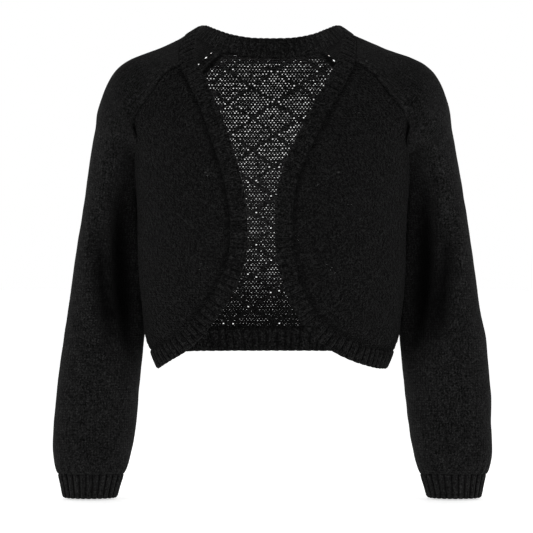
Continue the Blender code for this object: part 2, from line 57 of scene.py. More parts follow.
# A rib's height and wall, how deep its seam lies, and how far the strip sits under the solid's face.
RIB_CREST = 2.2
RIB_THICKNESS = 2.4
RIB_SEAM_DIP = 2.2
RIB_SINK = 1.0
# The middle level of a rib's height, which it keeps where it is stretched.
RIB_LEVEL = 0.75

# The body's form.
ROUNDNESS = 2.2
UNDERARM_DROP = 165.0
HEM_TOP_DROP = 430.0
HEM_DROP = 455.0
HEM_TOP_DROP_AT_BACK = 403.5
HEM_DROP_AT_BACK = 434.0
LEVEL_HEM_SHARE = 0.45
LEFT_RAGLAN_SHIFT = 12.0
LEFT_SLEEVE_REACH = 5.0
# The share of a raglan seam over which rows still follow the line of the neck.
NECK_SHARE = 0.3
# Above this drop the body's section is too short to lay the band on.
NECK_SECTION_DROP = 37.0
# Where the raglan seams meet the band, by its stations, and the fine steps between two stations.
BACK_RAGLAN_STATION = 2
FRONT_RAGLAN_STATION = 7
FINE = 80

# The openwork knit of the body.
HOLE_SPACING = 4.5
HOLE_ROW = 3.15
HOLE_WIDTH = 1.35
HOLE_HEIGHT = 0.98
ROW_PULL = 0.45
FINE_CENTRE = (6.0, 92.0)
SEAM_STITCH = 11.5
DIAMOND_WIDTH = 63.5
DIAMOND_HEIGHT = 43.0
LATTICE_HALF_WIDTH = 2.1
PAIR_REACH = 5.8
EYELET_RADIUS = 1.9
# One crossing of the diamond lines on each panel, by the distance round (back) or x (front), and drop.
BACK_CROSSING = (-27.4, 74.2)
FRONT_CROSSING = (-106.0, 307.6)
# How open each lace is: the share of stitches with a hole, the smallest and the largest hole as shares of a
# plain one, and how far the diamond lines are raised, which also sets their painted highlight.
BACK_LACE = {"chance": 0.97, "smallest": 0.47, "largest": 1.28, "raised": 0.3}
FRONT_LACE = {"chance": 0.4, "smallest": 0.3, "largest": 0.62, "raised": 0.8}
# How far its diamonds are crowned, its edges dip in a seam and under the band, and a wale stands beside a seam.
DIAMOND_CROWN = 0.35
SEAM_DIP = 1.2
BAND_DIP = 1.4
WALE_RIDGE = 0.5
# Its painted shade, where 1 is the dark of a groove: painted shade under the band and in a seam, and painted
# highlights on the raised lines and the wale.
UNDER_BAND_SHADE = 2.0
SEAM_SHADE = 0.9
# Painted highlights on the raised diamond lines and on the wale beside the raglan seam.
LINE_HIGHLIGHT = 1.4
RIDGE_HIGHLIGHT = 0.8

# The plain knit of the sleeves.
WALE = 4.0
COURSE = 3.3


def unit(vectors):
    """The rows of an array, each at length 1."""
    return vectors / np.linalg.norm(vectors, axis=1)[:, None]


def hermite(t, span, start, start_slope, end, end_slope):
    """The cubic from start to end over a span, with a slope at each, read at t from 0 to 1."""
    first = (1 + 2 * t) * (1 - t) ** 2 * start + t * (1 - t) ** 2 * span * start_slope
    last = t * t * (3 - 2 * t) * end + t * t * (t - 1) * span * end_slope
    return first + last


def monotone(knots, values, at):
    """A smooth curve through the knots that never overshoots them."""
    step = np.diff(knots)
    rise = np.diff(values) / step
    slope = np.empty(len(knots))
    slope[0] = rise[0]
    slope[-1] = rise[-1]
    product = rise[:-1] * rise[1:]
    total = np.where(product > 0, rise[:-1] + rise[1:], 1.0)
    slope[1:-1] = np.where(product > 0, 2 * product / total, 0.0)
    at = np.clip(at, knots[0], knots[-1])
    index = np.clip(np.searchsorted(knots, at) - 1, 0, len(step) - 1)
    t = (at - knots[index]) / step[index]
    return hermite(t, step[index], values[index], slope[index], values[index + 1], slope[index + 1])


class Table:
    """Rows of sizes under named columns, read smoothly between the rows by the first column."""

    def __init__(self, columns, *rows):
        self.columns = columns.split()
        self.rows = np.array(rows, float)

    def column(self, name):
        return self.rows[:, self.columns.index(name)]

    def at(self, name, value):
        return monotone(self.rows[:, 0], self.column(name), value)


BODY = Table(
    "drop half_width front_depth back_depth",
    (25, 189, 38, 73),
    (37, 189, 53, 88),
    (50, 190, 63, 95),
    (70, 190, 76, 101),
    (100, 192, 90, 106),
    (125, 195, 98, 109),
    (145, 191, 103, 110),
    (165, 185, 107, 110),
    (205, 182, 111, 108),
    (260, 178.5, 112, 101),
    (324, 177, 110, 93),
    (380, 172.5, 106, 87),
    (411, 168.5, 103, 84),
    (430, 162, 100, 82),
    (455, 152, 96, 80),
)

YOKE = Table(
    "along front_x front_drop back_x back_drop ridge_x ridge_y ridge_drop front_bulge back_bulge",
    (0.00, 122.5, 48, 66, 29, 114, 10, 12, 0.36, 0.36),
    (0.25, 143.0, 70, 100, 62, 150, 8, 29, 0.38, 0.38),
    (0.50, 161.0, 97, 131, 92, 187, 6, 46, 0.41, 0.40),
    (0.75, 178.0, 121, 163, 118, 213, 5, 68, 0.46, 0.44),
    (0.90, 185.5, 148, 180, 145, 225, 4, 96, 0.66, 0.60),
    (1.00, 185.4, 165, 185.4, 165, 231, 4, 115, 1.02, 1.02),
)
FOLD_START = {"front": 0.4, "back": 0.45}

SLEEVE = Table(
    "ring inner_x inner_y inner_drop outer_x outer_y outer_drop half_depth",
    (0.0, 185.4, 0, 165, 231, 4, 115, 52),
    (0.5, 185.0, 12, 186, 238, 10, 150, 53),
    (1.0, 181.5, 26, 206, 244, 15, 184, 54),
    (2.0, 176.5, 38, 240, 251.5, 19, 232, 55),
    (3.0, 172.5, 41, 290, 259.5, 23, 287, 54.5),
    (4.0, 170.5, 38, 345, 268, 23, 345, 53.5),
    (5.0, 169.5, 34, 392, 275.5, 20, 392, 52),
    (6.0, 172.0, 28, 432, 280, 15, 432, 50.5),
    (7.0, 176.5, 18, 478, 285.5, 8, 478, 49),
    (8.0, 180.0, 8, 520, 290, 1, 520, 48),
    (9.0, 184.5, 0, 555, 293, -5, 555, 46),
    (10.0, 189.5, -5, 576, 291, -8, 576, 43),
    (11.0, 193.6, -8, 589, 287.2, -10, 589, 37),
    (11.5, 196.0, -9, 594, 284.6, -10, 594, 33),
)

CUFF = Table(
    "drop inner_x outer_x half_depth",
    (594.5, 196.6, 284.0, 32),
    (600.0, 199.0, 281.6, 30.5),
    (609.0, 202.2, 279.4, 28.5),
    (618.0, 204.4, 278.0, 27.2),
    (626.0, 206.4, 276.4, 26.5),
)
CUFF_Y = -9.5

NECK_RIGHT = Table(
    "station edge_x edge_y edge_drop seam_x seam_y seam_drop",
    (0, 0, 80, 9.8, 0, 87, 36.5),
    (1, 30, 77, 9, 34, 83.5, 34.8),
    (2, 57, 66, 5, 66, 74, 29),
    (3, 76, 47, 0, 91, 56, 19),
    (4, 90, 22, -3, 109, 27, 11),
    (5, 99, -6, 4, 118, -4, 15),
    (6, 102, -30, 20, 122, -27, 30),
)
NECK_LEFT = Table(
    "station edge_x edge_y edge_drop seam_x seam_y seam_drop",
    (0, 0, 80, 9.8, 0, 87, 36.5),
    (1, 30, 77, 9, 34, 83.5, 34.8),
    (2, 56, 66, 5, 66, 74, 29),
    (3, 73, 47, 0, 88, 56, 19),
    (4, 87, 22, -3, 104, 27, 11),
    (5, 93, -6, 4, 111, -4, 15),
    (6, 94, -28, 20, 112, -26, 30),
)

OPENING_RIGHT = Table(
    "drop x",
    (47, -101),
    (68, -91),
    (104, -74),
    (138, -61),
    (183, -46.5),
    (221, -37),
    (260, -32.5),
    (300, -33.5),
    (324, -39),
    (346, -48),
    (369, -60),
    (390, -75),
    (411, -92),
    (430, -113),
    (443, -134),
)
OPENING_LEFT = Table(
    "drop x",
    (42, 89),
    (70, 76),
    (95, 62),
    (133, 42),
    (163, 27),
    (200, 12),
    (237, 5),
    (275, 4),
    (308, 6.5),
    (336, 13),
    (364, 23),
    (388, 36),
    (408, 53),
    (429, 78),
    (443, 106),
    (451, 130),
)


def ease(low, high, value):
    """0 below low, 1 above high, and smooth between."""
    t = np.clip((np.asarray(value, float) - low) / (high - low), 0.0, 1.0)
    return t * t * (3 - 2 * t)


def lengths(points):
    """The distance along a line of points, at each point."""
    steps = np.linalg.norm(np.diff(points, axis=0), axis=1)
    return np.concatenate([[0.0], np.cumsum(steps)])


def read_line(line, along, at):
    """The places on a line at these readings, where along gives the reading at each of its points."""
    return np.stack([np.interp(at, along, line[:, axis]) for axis in range(line.shape[1])], axis=1)


def spread(points, fractions):
    """The places at these fractions of a line's length."""
    along = lengths(points)
    return read_line(points, along, np.asarray(fractions) * along[-1])


def through(points, per_span):
    """A smooth line through the points, with this many steps in each span."""
    points = np.asarray(points, float)
    knots = lengths(points)
    slopes = np.gradient(points, knots, axis=0)
    made = []
    t = np.linspace(0, 1, per_span, endpoint=False)[:, None]
    for index, span in enumerate(np.diff(knots)):
        made.append(hermite(t, span, points[index], slopes[index], points[index + 1], slopes[index + 1]))
    return np.vstack(made + [points[-1:]])


def body_y(x, drop, depth):
    """How far the body's section stands before (front_depth) or behind (back_depth) its middle."""
    ratio = np.clip(np.abs(x) / BODY.at("half_width", drop), 0, 1)
    reach = BODY.at(depth, drop) * (1 - ratio**ROUNDNESS) ** (1 / ROUNDNESS)
    return -reach if depth == "front_depth" else reach


def opening(side):
    return OPENING_LEFT if side > 0 else OPENING_RIGHT


def band_lines(side):
    """The band's free edge and its seam on one side, as fine lines from mid back to the hem."""
    neck = NECK_LEFT if side > 0 else NECK_RIGHT
    edge, seam = (
        [
            (side * x, y, -drop)
            for x, y, drop in zip(*(neck.column(line + axis) for axis in ("_x", "_y", "_drop")))
        ]
        for line in ("edge", "seam")
    )
    flat = np.stack([opening(side).column("x"), -opening(side).column("drop")], axis=1)
    flat = np.vstack([flat, [side * BODY.at("half_width", HEM_DROP), -HEM_DROP]])
    slope = unit(np.gradient(flat, lengths(flat), axis=0))
    widths = np.interp(-flat[:, 1], (HEM_TOP_DROP_AT_BACK, HEM_DROP), (BAND_WIDTH, BAND_WIDTH_AT_HEM))
    across = np.stack([-side * slope[:, 1], side * slope[:, 0]], axis=1) * widths[:, None]
    for (x, z), (step_x, step_z) in zip(flat[:-1], across[:-1]):
        edge.append((x, body_y(x, -z, "front_depth"), z))
        seam.append((x + step_x, body_y(x + step_x, -z - step_z, "front_depth"), z + step_z))
    edge.append((side * BODY.at("half_width", HEM_DROP), 0.0, -HEM_DROP))
    seam.append((side * BODY.at("half_width", HEM_TOP_DROP), 0.0, -HEM_TOP_DROP))
    return on_body(through(edge, FINE)), on_body(through(seam, FINE))


def on_body(line):
    """The line with its front stretch laid exactly on the body's section."""
    start = (FRONT_RAGLAN_STATION + 1) * FINE
    front = line[start:]
    front[:, 1] = body_y(front[:, 0], -front[:, 2], "front_depth")
    blend = ease(FRONT_RAGLAN_STATION * FINE, start, np.arange(start))
    laid = body_y(line[:start, 0], np.maximum(-line[:start, 2], NECK_SECTION_DROP), "front_depth")
    line[:start, 1] += blend * (laid - line[:start, 1])
    return line


BAND_LINES = {side: band_lines(side) for side in (-1, 1)}


def outside_seam(side, gap):
    """The seam line of the band, moved off the band by a gap, or under it where the gap is negative."""
    edge, seam = BAND_LINES[side]
    return seam + unit(seam - edge) * gap


def raglan_point(side, along, face):
    """A point of a raglan seam, on the body's section."""
    x = YOKE.at(face + "_x", along)
    if side > 0 and face == "front":
        x = x - LEFT_RAGLAN_SHIFT * (1 - along)
    drop = YOKE.at(face + "_drop", along)
    return np.array([side * x, body_y(x, drop, face + "_depth"), -drop])


def neck_fade(along):
    """How far a row near the neck takes on the line of the neck's seam."""
    return np.clip(1 - along / NECK_SHARE, 0, 1) ** 2


def raglan_seam(side, along, face):
    """A point of a raglan seam that starts exactly at the band."""
    station = FRONT_RAGLAN_STATION if face == "front" else BACK_RAGLAN_STATION
    corner = outside_seam(side, -TUCK)[station * FINE]
    shift = corner - raglan_point(side, 0.0, face)
    return raglan_point(side, along, face) + neck_fade(along) * shift


def surface_heading(side, along, face):
    """The way across the raglan seam over the body's surface, towards the shoulder."""
    here = raglan_point(side, along, face)
    x = abs(here[0])
    drop = -here[2]
    step = 0.5
    steepest = 4.0
    stride = 0.05
    depth = face + "_depth"
    slope_x = float(body_y(x + step, drop, depth) - body_y(x - step, drop, depth)) / (2 * step)
    slope_x = side * np.clip(slope_x, -steepest, steepest)
    slope_z = float(body_y(x, drop - step, depth) - body_y(x, drop + step, depth)) / (2 * step)
    normal = np.array([slope_x, -1.0, slope_z])
    ahead = raglan_point(side, min(along + stride, 1), face)
    further = ahead - raglan_point(side, along - stride, face)
    heading = np.cross(normal, further)
    if np.dot(heading, yoke_ridge(side, along) - here) < 0:
        heading = -heading
    return heading / np.linalg.norm(heading)


def yoke_ridge(side, along):
    x = YOKE.at("ridge_x", along)
    if side > 0:
        x = x + LEFT_SLEEVE_REACH * ease(0.15, 0.75, along)
    return np.array([side * x, YOKE.at("ridge_y", along), -YOKE.at("ridge_drop", along)])


def bezier(points):
    """A cubic curve from its four control points."""
    t = np.linspace(0, 1, FINE)[:, None]
    weights = ((1 - t) ** 3, 3 * (1 - t) ** 2 * t, 3 * (1 - t) * t * t, t**3)
    return sum(weight * point for weight, point in zip(weights, points))


def yoke_arc(side, along):
    """The sleeve's row over the shoulder, from the front raglan seam to the back one."""
    ridge = yoke_ridge(side, along)
    halves = []
    for face, forward in (("front", -1.0), ("back", 1.0)):
        start = raglan_point(side, along, face)
        away = np.array([0.0, forward, 0.0])
        folded = float(ease(FOLD_START[face], 1.0, along))
        heading = (1 - folded) * surface_heading(side, along, face) + folded * away
        heading /= np.linalg.norm(heading)
        handle = YOKE.at(face + "_bulge", along) * np.linalg.norm(ridge - start)
        halves.append(bezier((start, start + heading * handle, ridge + away * handle, ridge)))
    return np.vstack([halves[0], halves[1][-2::-1]])


def tube_ring(inner, outer, half_depth):
    """One closed ring through its inner and outer point, from the inner one round the front."""
    reach = np.array([0.0, 4 / 3 * float(half_depth), 0.0])
    before = bezier((inner, inner - reach, outer - reach, outer))
    behind = bezier((outer, outer + reach, inner + reach, inner))
    return np.vstack([before, behind[1:]])


def sleeve_ring(side, ring):
    """One closed ring of the sleeve below the underarm."""
    ends = []
    for end in ("inner", "outer"):
        x, y, drop = (SLEEVE.at(end + axis, ring) for axis in ("_x", "_y", "_drop"))
        if side > 0 and end == "outer":
            x = x + LEFT_SLEEVE_REACH * (1 - ease(5.0, 8.5, ring))
        ends.append(np.array([side * x, y, -drop]))
    return tube_ring(ends[0], ends[1], SLEEVE.at("half_depth", ring))


def scatter(index, seed):
    """Even pseudo-random numbers from 0 to 1, the same each run, from whole-number indices."""
    value = np.sin(np.asarray(index, float) * 12.9898 + seed * 78.233) * 43758.5453
    return value - np.floor(value)


def ripple(points, wavelength, seed):
    """Smooth unevenness from -1 to 1 over space, made of a few crossing waves."""
    total = np.zeros(len(points))
    for wave in range(5):
        turn = scatter(wave * 3 + np.arange(3), seed) * 2 - 1
        direction = turn / np.linalg.norm(turn)
        stretch = 0.7 + 0.7 * scatter(wave, seed + 5)
        phase = 2 * math.pi * scatter(wave, seed + 9)
        total += np.sin(points @ direction * (2 * math.pi / (wavelength * stretch)) + phase)
    return total / 5


class Surface:
    """The body's front or back, read by the distance round it from the middle and by drop."""

    FIRST = 20.0
    REACH = 330

    def __init__(self, near, far):
        self.drops = np.arange(self.FIRST, HEM_DROP + 6, 1.0)
        quarter = np.linspace(math.pi / 2, 0, 240)
        half_width = BODY.at("half_width", self.drops)[:, None]
        x = half_width * np.cos(quarter) ** (2 / ROUNDNESS)
        x = np.hstack([x, x[:, -2::-1]])
        wide = np.sin(quarter) ** (2 / ROUNDNESS)
        sign = -1 if near == "front_depth" else 1
        first = sign * BODY.at(near, self.drops)[:, None] * wide
        second = -sign * BODY.at(far, self.drops)[:, None] * wide[-2::-1]
        y = np.hstack([first, second])
        steps = np.hypot(np.diff(x, axis=1), np.diff(y, axis=1))
        self.along = np.hstack([np.zeros((len(x), 1)), np.cumsum(steps, axis=1)])
        self.half = self.along[:, len(quarter) - 1]
        self.edge_x = x[:, : len(quarter)]
        self.edge_along = self.along[:, : len(quarter)]
        grid = np.arange(self.REACH + 1.0)
        self.x = np.array([np.interp(grid, a, row) for a, row in zip(self.along, x)])
        self.y = np.array([np.interp(grid, a, row) for a, row in zip(self.along, y)])

    def place(self, around, drop):
        """Points in space, in millimetres."""
        row = np.clip(np.asarray(drop) - self.FIRST, 0, len(self.drops) - 1.001)
        column = np.clip(np.abs(around), 0, self.REACH - 0.001)
        i, j = row.astype(int), column.astype(int)
        s, t = row - i, column - j
        x, y = (
            (1 - s) * ((1 - t) * grid[i, j] + t * grid[i, j + 1])
            + s * ((1 - t) * grid[i + 1, j] + t * grid[i + 1, j + 1])
            for grid in (self.x, self.y)
        )
        return np.stack([np.sign(around) * x, y, -np.asarray(drop, float)], axis=-1)

    def flatten(self, points):
        """(distance round, drop) of points that lie on this surface."""
        made = []
        for x, _, z in points:
            row = int(np.clip(round(-z - self.FIRST), 0, len(self.drops) - 1))
            made.append((math.copysign(np.interp(abs(x), self.edge_x[row], self.edge_along[row]), x), -z))
        return np.array(made)

    def half_round(self, drop):
        """The distance from the middle to the side seam."""
        return np.interp(drop, self.drops, self.half)


FRONT = Surface("front_depth", "back_depth")
BACK = Surface("back_depth", "front_depth")


def inside(polygon, points):
    """True for each point inside a closed polygon."""
    x, y = points[:, 0], points[:, 1]
    found = np.zeros(len(points), bool)
    for (x1, y1), (x2, y2) in zip(polygon, np.roll(polygon, -1, axis=0)):
        crosses = (y1 > y) != (y2 > y)
        with np.errstate(divide="ignore", invalid="ignore"):
            at = (x2 - x1) * (y - y1) / (y2 - y1) + x1
        found ^= crosses & (x < at)
    return found


def nearest(line, points, closed=True):
    """The nearest place on a line to each point, and how far it is. A closed line also joins its ends."""
    start, end = (line, np.roll(line, -1, axis=0)) if closed else (line[:-1], line[1:])
    span = end - start
    size = np.maximum((span**2).sum(1), 1e-9)
    best = np.full(len(points), 1e9)
    found = points.copy()
    for a, d, n in zip(start, span, size):
        t = np.clip(((points - a) @ d) / n, 0, 1)
        at = a + t[:, None] * d
        away = np.linalg.norm(points - at, axis=1)
        closer = away < best
        best[closer] = away[closer]
        found[closer] = at[closer]
    return found, best


def linked(name, data):
    """A new object of this data, in the scene."""
    made = bpy.data.objects.new(name, data)
    bpy.context.scene.collection.objects.link(made)
    return made


def piece(name, points, faces, uv, finish, shade):
    """An object from points in millimetres, faces, stitch coordinates and a shade for each point.

    The shade is painted shade and light in the colour: 0 on open cloth, 1 down in a seam or a groove, where
    shade falls, and below 0 where a painted highlight lies.
    """
    faces = [list(dict.fromkeys(int(index) for index in face)) for face in faces]
    faces = [face for face in faces if len(face) > 2]
    used = np.zeros(len(points), bool)
    for face in faces:
        used[face] = True
    number = np.cumsum(used) - 1
    data = bpy.data.meshes.new(name)
    data.from_pydata((points[used] * 0.001).tolist(), [], [[int(number[i]) for i in face] for face in faces])
    layer = data.uv_layers.new(name="stitch")
    corners = np.empty(len(data.loops), np.int32)
    data.loops.foreach_get("vertex_index", corners)
    layer.data.foreach_set("uv", uv[used][corners].astype(np.float32).ravel())
    depth = data.attributes.new("shade", "FLOAT", "POINT")
    depth.data.foreach_set("value", np.asarray(shade)[used].astype(np.float32))
    data.validate()
    data.update()
    data.shade_smooth()
    data.materials.append(finish)
    return linked(name, data)


def wall(made, thickness):
    """A closed wall inside the piece's outer surface."""
    solid = made.modifiers.new("wall", "SOLIDIFY")
    solid.thickness = thickness * 0.001
    solid.offset = -1.0
    solid.use_rim = True
    solid.use_quality_normals = True


def lattice(around, drop, crossing):
    """How far a place is from the nearest line of the diamond lattice, in millimetres."""
    u = (around - crossing[0]) / DIAMOND_WIDTH
    v = (drop - crossing[1]) / DIAMOND_HEIGHT
    lines = (np.abs((u + v) - np.round(u + v)), np.abs((u - v) - np.round(u - v)))
    return np.minimum(*lines) / math.hypot(1 / DIAMOND_WIDTH, 1 / DIAMOND_HEIGHT)


def beside_crossing(around, drop, crossing):
    """How far a place is from the nearest of the two eyelets beside each crossing of the lattice."""
    u = 2 * (around - crossing[0]) / DIAMOND_WIDTH
    v = 2 * (drop - crossing[1]) / DIAMOND_HEIGHT
    low_u, low_v = np.floor(u), np.floor(v)
    best = np.full(u.shape, 1e9)
    for step_u in (0, 1):
        for step_v in (0, 1):
            corner_u, corner_v = low_u + step_u, low_v + step_v
            real = (corner_u + corner_v) % 2 == 0
            away_v = (v - corner_v) * DIAMOND_HEIGHT / 2
            for side in (-1, 1):
                away_u = (u - corner_u) * DIAMOND_WIDTH / 2 - side * PAIR_REACH
                best = np.minimum(best, np.where(real, np.hypot(away_u, away_v), 1e9))
    return best


def swayed(around, drop):
    """The same place on a plain flat lattice, as the lines of the real one wander."""
    flat = np.stack([around, drop, around * 0], axis=-1).reshape(-1, 3)
    shape = np.shape(around)
    return around + 2.0 * ripple(flat, 85, 8).reshape(shape), drop + 1.7 * ripple(flat, 60, 18).reshape(shape)


def lace_grid(outline, crossing, chance, smallest, largest):
    """A lace panel laid flat: the points of its grid and the faces inside its outline, less the holes."""
    low, high = outline.min(0), outline.max(0)
    column = HOLE_SPACING / 2
    columns = np.arange(math.floor(low[0] / column) - 1, math.ceil(high[0] / column) + 2)
    rows = np.arange(math.floor(low[1] / HOLE_ROW) - 1, math.ceil(high[1] / HOLE_ROW) + 2)
    wide, tall = len(columns), len(rows)
    u = np.broadcast_to(columns * column, (tall, 2, wide)).copy()
    v = rows[:, None, None] * HOLE_ROW + np.array([-0.5, 0.5])[None, :, None] * HOLE_HEIGHT
    v = np.broadcast_to(v, (tall, 2, wide)).copy()

    # A hole lies between every other pair of columns, and the rows take turns.
    number = rows[:, None] * 1009.0 + columns[None, :-1]
    centre_u = (columns[None, :-1] + 0.5) * column + np.zeros((tall, 1))
    centre_v = rows[:, None] * HOLE_ROW + np.zeros((1, wide - 1))
    near, beside = (found(*swayed(centre_u, centre_v), crossing) for found in (lattice, beside_crossing))
    turn = (rows[:, None] + columns[None, :-1]) % 2 == 0
    size = smallest + (largest - smallest) * scatter(number, 2) ** 1.6
    fade = 1 - 0.22 * ease(140, 230, centre_v) - 0.3 * ease(310, 390, centre_v)
    eyelet = beside < EYELET_RADIUS
    off_lines = near > LATTICE_HALF_WIDTH * (0.45 + 1.0 * scatter(number, 6))
    local_chance = chance * (1 - 0.4 * ease(115, 150, np.abs(centre_u)))
    holes = turn & (off_lines & (scatter(number, 1) < local_chance) | eyelet)
    size = np.where(eyelet, largest * 1.1, size * fade)
    tilt = scatter(number, 3) - 0.5
    at_row, at_column = np.nonzero(holes)
    for side, offset in ((-1, 0), (1, 1)):
        for level, up in ((0, -1), (1, 1)):
            aside = side * HOLE_WIDTH / 2 * size + up * 0.15 * tilt
            above = up * HOLE_HEIGHT / 2 * size + side * 0.25 * tilt
            u[at_row, level, at_column + offset] = (centre_u + aside)[at_row, at_column]
            v[at_row, level, at_column + offset] = (centre_v + above)[at_row, at_column]

    # Rows draw together in pairs, least in the middle of the upper back.
    pull = ROW_PULL * ease(16, 42, np.hypot(u - FINE_CENTRE[0], 0.8 * (v - FINE_CENTRE[1])))
    v += pull * np.where(rows % 2 == 0, 1.0, -1.0)[:, None, None]

    # Wales and courses wander a little, as they do in a real knit.
    flat = np.stack([u.ravel(), v.ravel()], axis=1)
    wander = np.column_stack([flat, np.zeros(len(flat))])
    flat[:, 0] += 0.8 * ripple(wander, 38, 3)
    flat[:, 1] += 0.6 * ripple(wander, 31, 4)

    number = np.arange(tall * 2 * wide).reshape(tall * 2, wide)
    faces = np.stack([number[:-1, :-1], number[:-1, 1:], number[1:, 1:], number[1:, :-1]], axis=2)
    keep = np.ones((tall * 2 - 1, wide - 1), bool)
    keep[::2] = ~holes
    faces = faces[keep]
    return flat, faces[inside(outline, flat[faces].mean(axis=1))]


def lace_relief(flat, points, crossing, outline, band_seam, raised):
    """How far a lace panel's points stand off the body, and their painted shade and highlights."""
    near = lattice(*swayed(flat[:, 0], flat[:, 1]), crossing)
    relief = raised * (1 - ease(0.0, 2.6, near)) + DIAMOND_CROWN * ease(3.0, 10.0, near)
    relief += 0.9 * ripple(points, 95, 6) + 0.25 * ripple(points, 17, 7)
    # The edges lie under the band and in the seams' grooves, less so low in the armhole.
    _, to_edge = nearest(outline, flat)
    _, to_band = nearest(band_seam, flat, closed=False)
    armhole = swell(130, 220, 38, flat[:, 1]) * ease(10, 14, to_band)
    in_seam = SEAM_DIP * (1 - 0.8 * armhole) * (1 - ease(0.5, 4.0, to_edge))
    relief -= in_seam + BAND_DIP * (1 - ease(1.5, 7.5, to_band))
    # A raised wale runs beside the raglan seam, and a painted highlight lies along it.
    ridge = swell(4.2, 5.4, 1.6, to_edge) * (1 - ease(105, 125, flat[:, 1])) * ease(10, 14, to_band)
    relief += WALE_RIDGE * ridge
    # Painted shade in the groove beside the band, darkest at each stitch of its seam, and in the seams high up;
    # painted highlights on the raised lattice lines and the wale.
    spots = 0.75 + 0.25 * np.cos((flat[:, 0] + flat[:, 1]) * 2 * math.pi / SEAM_STITCH)
    shade = UNDER_BAND_SHADE * (1 - ease(6.0, 10.0, to_band)) * spots
    shade -= LINE_HIGHLIGHT * raised * (1 - ease(0.4, 2.6, near))
    shade -= RIDGE_HIGHLIGHT * ridge
    shade += SEAM_SHADE * (1 - ease(0.5, 3.0, to_edge)) * (1 - ease(95, 120, flat[:, 1]))
    return relief, shade


def openwork(name, surface, outline, band_seam, crossing, finish, chance, smallest, largest, raised):
    """A lace panel of the body: a grid of knit with small holes between the stitches of its diamonds."""
    flat, faces = lace_grid(outline, crossing, chance, smallest, largest)

    # The outermost points of the grid move to the panel's outline.
    snapped, away = nearest(outline, flat)
    used = np.zeros(len(flat), bool)
    used[faces] = True
    move = used & (~inside(outline, flat) | (away < 0.5))
    flat[move] = snapped[move]

    points = surface.place(flat[:, 0], flat[:, 1])
    ahead = surface.place(flat[:, 0] + 0.5, flat[:, 1]) - surface.place(flat[:, 0] - 0.5, flat[:, 1])
    below = surface.place(flat[:, 0], flat[:, 1] + 0.5) - surface.place(flat[:, 0], flat[:, 1] - 0.5)
    normals = unit(np.cross(ahead, below))
    normals *= np.sign((normals * points * (1, 1, 0)).sum(1))[:, None]
    relief, shade = lace_relief(flat, points, crossing, outline, band_seam, raised)
    points = points + normals * relief[:, None]
    uv = np.stack([flat[:, 0] / HOLE_SPACING, flat[:, 1] / HOLE_ROW], axis=1)
    made = piece(name, points, outward_faces(points, faces, normals), uv, finish, shade)
    mesh = bmesh.new()
    mesh.from_mesh(made.data)
    rim = [vert for vert in mesh.verts if vert.is_boundary]
    bmesh.ops.remove_doubles(mesh, verts=rim, dist=0.0002)
    bmesh.ops.dissolve_degenerate(mesh, dist=0.00005, edges=mesh.edges)
    mesh.to_mesh(made.data)
    mesh.free()
    wall(made, LACE_WALL)
    return made


def outward_faces(points, faces, normals):
    """The faces, all turned so that they point the way the normals do."""
    corner = points[faces[:, :3]]
    turn = np.cross(corner[:, 1] - corner[:, 0], corner[:, 2] - corner[:, 0])
    return faces[:, ::-1] if (turn * normals[faces[:, 0]]).sum() < 0 else faces


def front_outline(side):
    """A front's outline, down the raglan and the side and back up the band's seam, and that seam alone."""
    raglan = [raglan_seam(side, along, "front") for along in np.linspace(0, 1, 60)]
    raglan = FRONT.flatten(raglan)
    drops = np.linspace(UNDERARM_DROP, HEM_TOP_DROP + 2, 70)[1:]
    seam = np.stack([side * (FRONT.half_round(drops) + 0.4), drops], axis=1)
    band = outside_seam(side, -TUCK)[FRONT_RAGLAN_STATION * FINE :: 12]
    band = FRONT.flatten(band)[::-1]
    return np.vstack([raglan, seam, band[1:-1]]), band


def hem_drop(share, edge, middle):
    """The drop of a line across the back's lower edge, by the share of the way to the side."""
    return middle + (edge - middle) * ease(LEVEL_HEM_SHARE, 1.0, share)


def hem_curve(edge, middle, count):
    """A line across the back's lower edge, in space, from the right side seam to the left one."""
    share = np.linspace(0, 1, count)
    drops = hem_drop(share, edge, middle)
    angle = math.pi / 2 * (1 - share)
    x = BODY.at("half_width", drops) * np.cos(angle) ** (2 / ROUNDNESS)
    half = np.stack([x, body_y(x, drops, "back_depth"), -drops], axis=1)
    other = half[::-1] * (-1, 1, 1)
    return np.vstack([other, half[1:]])


def back_outline():
    """The back's outline, round the neck, the left side, the hem and the right side, and the neck alone."""
    necks = [outside_seam(side, -TUCK)[: BACK_RAGLAN_STATION * FINE + 1 : 8] for side in (-1, 1)]
    neck = BACK.flatten(np.vstack([necks[0][::-1], necks[1][1:]]))
    sides = []
    for side in (1, -1):
        raglan = BACK.flatten([raglan_seam(side, along, "back") for along in np.linspace(0, 1, 60)])
        drops = np.linspace(UNDERARM_DROP, HEM_TOP_DROP, 70)[1:]
        seam = np.stack([side * BACK.half_round(drops), drops], axis=1)
        sides.append(np.vstack([raglan[1:], seam]))
    hem = BACK.flatten(hem_curve(HEM_TOP_DROP + 1.5, HEM_TOP_DROP_AT_BACK + 1.5, 60))[::-1]
    return np.vstack([neck, sides[0], hem[1:-1], sides[1][::-1]]), neck


def rib_profile(phase):
    """The height of a rib across it: a broad round crest and a narrow groove, from 0 to 1."""
    return np.abs(np.sin(math.pi * phase)) ** 0.75


RIB_STEPS = (0.0, 0.055, 0.14, 0.27, 0.42, 0.58, 0.73, 0.86, 0.945)


